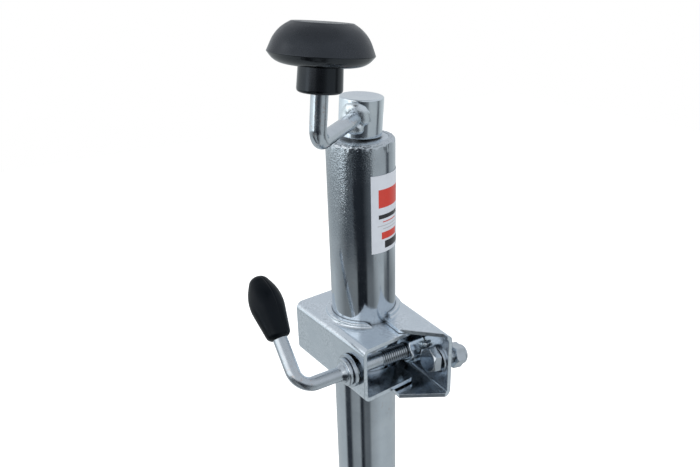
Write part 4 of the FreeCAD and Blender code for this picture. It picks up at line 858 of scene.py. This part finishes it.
boltLine = placeAt(-0.0015, -0.0574966, 0.0005, ("Y", 100))
hexagons = {
    "clampNut": {"width": 0.019, "face": 0.0092, "bore": 0.0060, "low": 0.013, "high": 0.027,
                 "turn": 0.0},
    "mountingNut": {"width": 0.016, "face": 0.0078, "bore": 0.0051, "low": 0.0098, "high": 0.0178,
                    "turn": 0.0, "collar": 0.0072, "crown": 0.0030, "collarFoot": 0.0002,
                    "crownRounding": 0.0013, "boreRounding": 0.0004},
    "mountingBolt": {"width": 0.0172, "face": 0.0080, "low": -0.0117, "high": -0.0053, "turn": 24.0,
                     "shank": 0.005, "end": 0.0207, "tip": 0.0008},
}
flats = {
    "hollow": 0.00030,      # how far the flats are pressed in
    "slope": 0.58, "seatSlope": 0.4,      # of the turned corners, and its share at the seat
    "steps": 5, "sides": 180,
}
boltThread = {"core": 0.0047, "ridge": 0.00062, "pitch": 0.0015, "turns": 9.0, "start": 0.0045}
tack = {
    "place": (-0.0042, -0.0446, 0.0064), "size": 0.0024, "rings": 14, "sides": 24, "pole": 0.02,
    "lumps": 0.35, "lumpScale": 1.7, "lumpSeed": (3.1, 0.4, 1.9),
}


def hexagonShape(look):
    # keeps each point of a turned outline inside the hexagon
    apothem = look["width"] / 2

    def shaped(point, turn):
        lean = (turn - radians(look["turn"]) + pi / 6) % (pi / 3) - pi / 6
        edge = apothem / cos(lean) - flats["hollow"] * cos(3 * lean)
        radius = point.to_2d().length
        if radius <= edge:
            return point
        return Vector((point.x * edge / radius, point.y * edge / radius, point.z))

    return shaped


def turnedCorner(look):
    # radius over the corners, height of the turned part, and its outline from the face outwards
    corner, steps = look["width"] / sqrt(3), flats["steps"]
    wide = corner - look["face"]
    back = wide * flats["slope"]
    line = [Vector((look["face"] + wide * k / steps, back * k / steps)) for k in range(steps + 1)]
    return corner, back, line


def makeNut(name, node, place, finish):
    look = hexagons[name]
    corner, back, chamfer = turnedCorner(look)
    low, high, bore = look["low"], look["high"], look["bore"]
    outline = [Vector((spot.x, low + spot.y)) for spot in chamfer]
    if "collar" in look:
        collar, crown = look["collar"], high + look["crown"]
        outline += [Vector((corner, high - back * flats["seatSlope"])), Vector((collar, high))]
        outline += roundedLine([
            (collar, high + look["collarFoot"]), (collar, crown, look["crownRounding"]),
            (bore, crown, look["boreRounding"]), (bore, high)], 8)
    else:
        outline += [Vector((spot.x, high - spot.y)) for spot in reversed(chamfer)]
        outline.append(Vector((bore, high)))
    outline.append(Vector((bore, low)))
    shape = turnedRing(outline, flats["sides"], hexagonShape(look))
    piece = meshPiece(name, place, shape, finish, "clamp")
    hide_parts(node)


def makeMountingBolt():
    look = hexagons["mountingBolt"]
    corner, back, chamfer = turnedCorner(look)
    high, shank, end, tip = look["high"], look["shank"], look["end"], look["tip"]
    outline = [Vector((nearAxis, look["low"]))]
    outline += [Vector((spot.x, look["low"] + spot.y)) for spot in chamfer]
    outline += [Vector(pair) for pair in (
        (corner, high - back * flats["seatSlope"]), (look["face"], high), (shank, high),
        (shank, end - tip), (shank - tip, end), (nearAxis, end))]
    shape = turnedSolid(outline, flats["sides"], hexagonShape(look))
    piece = meshPiece("mountingBolt", boltLine, shape, "bolt", "clamp")
    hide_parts("mounting_bolt")

    look = boltThread
    threadPlace = boltLine @ placeAt(0, 0, look["start"])
    thread = grownPiece("mountingThread", threadTree, "thread", threadPlace, "clamp",
                        Core=look["core"], Depth=look["ridge"], Pitch=look["pitch"],
                        Turns=look["turns"])


def makeTack():
    # a lump of weld that holds the clamp nut to the wall
    rings, sides, pole = tack["rings"], tack["sides"], tack["pole"]
    points = []
    for i in range(rings):
        rise = pi * (i + pole) / (rings - 1 + 2 * pole)
        for turn in turnsOf(sides):
            way = onCircle(sin(rise), turn, -cos(rise))
            lump = noise.noise(way * tack["lumpScale"] + Vector(tack["lumpSeed"]))
            points.append(Vector(tack["place"]) + way * tack["size"] * (1 + tack["lumps"] * lump))
    piece = meshPiece("nutTack", Matrix(), (points, cappedFaces(rings, sides)), "weld", "clamp")


makeNut("clampNut", "clamp_nut", placeAt(*lever["axis"], ("Y", 90)), "nut")
makeNut("mountingNut", "mounting_nut", boltLine, "bolt")
makeMountingBolt()
makeTack()


# Moving jaw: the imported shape, with the pressed collar run out to a point in front

jawCollar = {
    "place": (-0.030, 0.0, 0.0006), "lean": 5.05, "flange": 0.0216, "foot": 0.0280,
    "from": 230.0, "to": 246.3, "beyond": 2.0,      # degrees, where the run-out starts and ends
    "lowest": 0.00005, "widest": 0.0310, "curve": 2.2, "drop": 0.88, "blend": 0.0015,
}


def makeMovingJaw():
    look = jawCollar
    place = placeAt(*look["place"], ("Z", look["lean"]))
    back = place.inverted()
    mesh = nodes["moving_jaw"].data.copy()
    for vertex in mesh.vertices:
        spot = back @ vertex.co
        turn = degrees(atan2(spot.y, spot.x)) % 360
        radius = spot.to_2d().length
        rise = spot.z - look["flange"]
        if rise < look["lowest"] or radius > look["widest"]:
            continue
        if not look["from"] < turn < look["to"] + look["beyond"]:
            continue
        share = min(1.0, (turn - look["from"]) / (look["to"] - look["from"])) ** look["curve"]
        outward = max(0.0, look["foot"] - radius) * share * min(1.0, rise / look["blend"])
        grown = radius + outward
        vertex.co = place @ Vector((spot.x * grown / radius, spot.y * grown / radius,
                                    look["flange"] + rise * (1 - look["drop"] * share)))
    piece = bodyPiece("movingJaw", mesh, "moving_jaw")
    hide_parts("moving_jaw")


makeMovingJaw()


# Rim rivets with domed heads on both sides of the web

rivets = {
    "centre": (-0.030, 0.032, -0.37235), "circle": 0.0299, "head": 0.0052, "rise": 0.0026,
    "seat": 0.0019,
}


def makeRivets():
    place = placeAt(*rivets["centre"], ("Y", 90))
    piece = grownPiece("rimRivets", rivetTree, "rim", place, "wheel", Circle=rivets["circle"],
                       Head=rivets["head"], Rise=rivets["rise"], Seat=rivets["seat"])
    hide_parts("rim_rivets")


makeRivets()
print("stage: pieces made")


# Camera, where the photograph was taken from

camera = {
    "place": (-0.25058, -0.36447, 0.2640),
    "heading": 30.0,          # degrees that the view turns from +Y towards +X
    "pitch": 22.8,            # degrees below the horizon
    "roll": 1.69,             # degrees clockwise
    "focus": 640.0,           # focal length in pixels of the photograph
    "pictureWidth": 700.0, "sensor": 36.0,      # pixels and millimetres
}


def makeCamera():
    data = bpy.data.cameras.new("photoCamera")
    data.sensor_width = camera["sensor"]
    data.lens = camera["focus"] * camera["sensor"] / camera["pictureWidth"]
    data.clip_start, data.clip_end = 0.01, 50.0
    made = addObject("photoCamera", data)
    heading, pitch, roll = (radians(camera[key]) for key in ("heading", "pitch", "roll"))
    ahead = Vector((sin(heading) * cos(pitch), cos(heading) * cos(pitch), -sin(pitch)))
    right = Vector((cos(heading), -sin(heading), 0))
    up = right.cross(ahead)
    rolledRight = right * cos(roll) - up * sin(roll)
    rolledUp = up * cos(roll) + right * sin(roll)
    turn = Matrix((rolledRight, rolledUp, -ahead)).transposed()
    made.matrix_world = Matrix.Translation(camera["place"]) @ turn.to_4x4()
    bpy.context.scene.camera = made


# Studio: pale floor, soft lamps and a sky that metal mirrors

studio = {
    "floorSize": 6.0,
    "legTravel": 0.131,       # the floor lies where the wheel stands with the leg wound fully out
    "floorRough": 0.9, "floorDark": (0.84, 0.845, 0.85), "floorPale": (0.88, 0.88, 0.885),
    "floorGlow": 0.45,        # only for the camera and in what is mirrored
    "skyForLight": 0.75,      # how strongly the sky lights matt surfaces
    "skyColour": (0.97, 0.985, 1.0),
    "cameraSide": -121.2,     # degrees from +X, the way from the post to the camera
    # brightness by direction, as (degrees from the camera's side, brightness), in four belts
    "crown": ((-180, .7), (-120, .8), (-72, 1.1), (-68, 1.7), (-55, 1.7), (-49, .3), (-22, .06),
              (5, .05), (22, .15), (42, .44), (80, .46), (87, .16), (94, .16), (102, .42),
              (160, .65)),
    "upper": ((-180, .55), (-88, .4), (-54, .1), (-30, .11), (-25, .03), (4, .025), (35, .14),
              (40, .44), (88, .43), (94, .11), (102, .11), (108, .37), (140, .57)),
    "middle": ((-180, .5), (-120, .56), (-70, .22), (-22, .23), (-17, .02), (11, .02), (17, .17),
               (35, .18), (56, .46), (75, .54), (82, .2), (100, .1), (108, .22), (165, .5)),
    "lower": ((-180, .55), (-88, .54), (-80, .05), (-62, .05), (-53, .32), (-24, .36), (-18, .035),
              (-11, .035), (-4, .17), (14, .16), (20, .38), (58, .54), (165, .5)),
    "overhead": (0.59, 0.615, 0.645),
    "zenith": (0.40, 0.42, 0.44),
    # where each blends into the one below it, by the Z of the direction
    "blends": {"middle": (-0.59, -0.53), "upper": (-0.45, -0.40), "crown": (-0.262, -0.245),
               "overhead": (-0.05, 0.2), "zenith": (0.80, 0.88)},
    "tint": (0.92, 0.985, 1.01),      # colour of the belts
    "coldBelow": 0.2, "coldLoss": (0.28, 0.2, 0.0),      # their dark parts are bluish
    # a bright panel high on the left: shares of the way round, and Z of the direction
    "window": 1.3, "windowLeft": (0.19, 0.24), "windowRight": (0.43, 0.47),
    "windowLow": (0.02, 0.1), "windowHigh": (0.5, 0.65),
}


def makeBand(position, stops):
    ramp = put(position.id_data, "ShaderNodeValToRGB", {"Fac": position})
    elements = ramp.color_ramp.elements
    while len(elements) > 1:
        elements.remove(elements[-1])
    for angle, value in stops:
        place = (angle + 180) / 360
        element = elements[0] if place == 0 else elements.new(place)
        cold = max(0.0, 1 - value / studio["coldBelow"])
        element.color = (*(value * (share - loss * cold)
                           for share, loss in zip(studio["tint"], studio["coldLoss"])), 1)
    return ramp.outputs[0]


def makeSky():
    look = studio
    world = bpy.data.worlds.new("studioSky")
    bpy.context.scene.world = world
    tree = emptyTree(world)
    parts = axesOf(put(tree, "ShaderNodeTexCoord").outputs["Generated"])
    angle = calc("ARCTAN2", parts["Y"], parts["X"])
    shifted = calc("SUBTRACT", angle, radians(look["cameraSide"]))
    wrapped = put(tree, "ShaderNodeMath", {0: shifted, 1: pi, 2: -pi}, operation="WRAP")
    position = calc("ADD", calc("DIVIDE", wrapped.outputs[0], 2 * pi), 0.5)
    height = parts["Z"]
    above = makeBand(position, look["lower"])
    for name, blend in look["blends"].items():
        colour = look[name]
        if name not in ("overhead", "zenith"):
            colour = makeBand(position, colour)
        above = mixColours(spread(height, *blend), above, colour)
    across = times(spread(position, *look["windowLeft"]),
                   spread(position, *look["windowRight"], 1, 0))
    upright = times(spread(height, *look["windowLow"]), spread(height, *look["windowHigh"], 1, 0))
    window = (look["window"],) * 3
    above = mixColours(times(across, upright), above, window)
    direct, mirrored = rayKinds(tree)
    seen = mixColours(mirrored, look["skyColour"], above)
    white = mixColours(direct, seen, (1, 1, 1))
    clear = calc("MAXIMUM", mirrored, direct)
    strength = spread(clear, 0, 1, look["skyForLight"], 1.0)
    background = put(tree, "ShaderNodeBackground", {"Color": white, "Strength": strength})
    put(tree, "ShaderNodeOutputWorld", {"Surface": background})


def makeFloor():
    look = studio
    half, height = look["floorSize"] / 2, cadLow.z - look["legTravel"]
    corners = ((-half, -half), (half, -half), (half, half), (-half, half))
    mesh = bpy.data.meshes.new("floor")
    mesh.from_pydata([(x, y, height) for x, y in corners], [], [(0, 1, 2, 3)])
    floor = addObject("floor", mesh)
    material, shader, where = startMaterial(
        "paleFloor", Roughness=look["floorRough"], Specular_IOR_Level=0.0)
    tree = where.id_data
    shade = mixColours(noiseOf(where, scale=4, detail=2), look["floorDark"], look["floorPale"])
    glow = times(calc("MAXIMUM", *rayKinds(tree)), look["floorGlow"])
    tree.links.new(shade, shader.inputs["Base Color"])
    tree.links.new(glow, shader.inputs["Emission Strength"])
    mesh.materials.append(material)
    floor.visible_glossy = False


lamps = {
    "key": {"place": (0.9, -1.1, 1.2), "size": 1.1, "power": 14.0},
    "fill": {"place": (-1.3, -0.3, 0.9), "size": 1.2, "power": 8.0},
    "rear": {"place": (0.3, 1.4, 1.1), "size": 1.0, "power": 8.0},
}


def makeLamps():
    for name, look in lamps.items():
        data = bpy.data.lights.new(name, "AREA")
        data.size, data.energy = look["size"], look["power"]
        lamp = addObject(name, data)
        lamp.location = look["place"]
        lamp.visible_glossy = False      # metal mirrors the sky alone
        lamp.rotation_euler = (tubeAxis - lamp.location).to_track_quat("-Z", "Y").to_euler()


makeCamera()
makeSky()
makeFloor()
makeLamps()
bpy.context.scene.view_settings.view_transform = "Standard"
print("stage: camera, floor and light made")
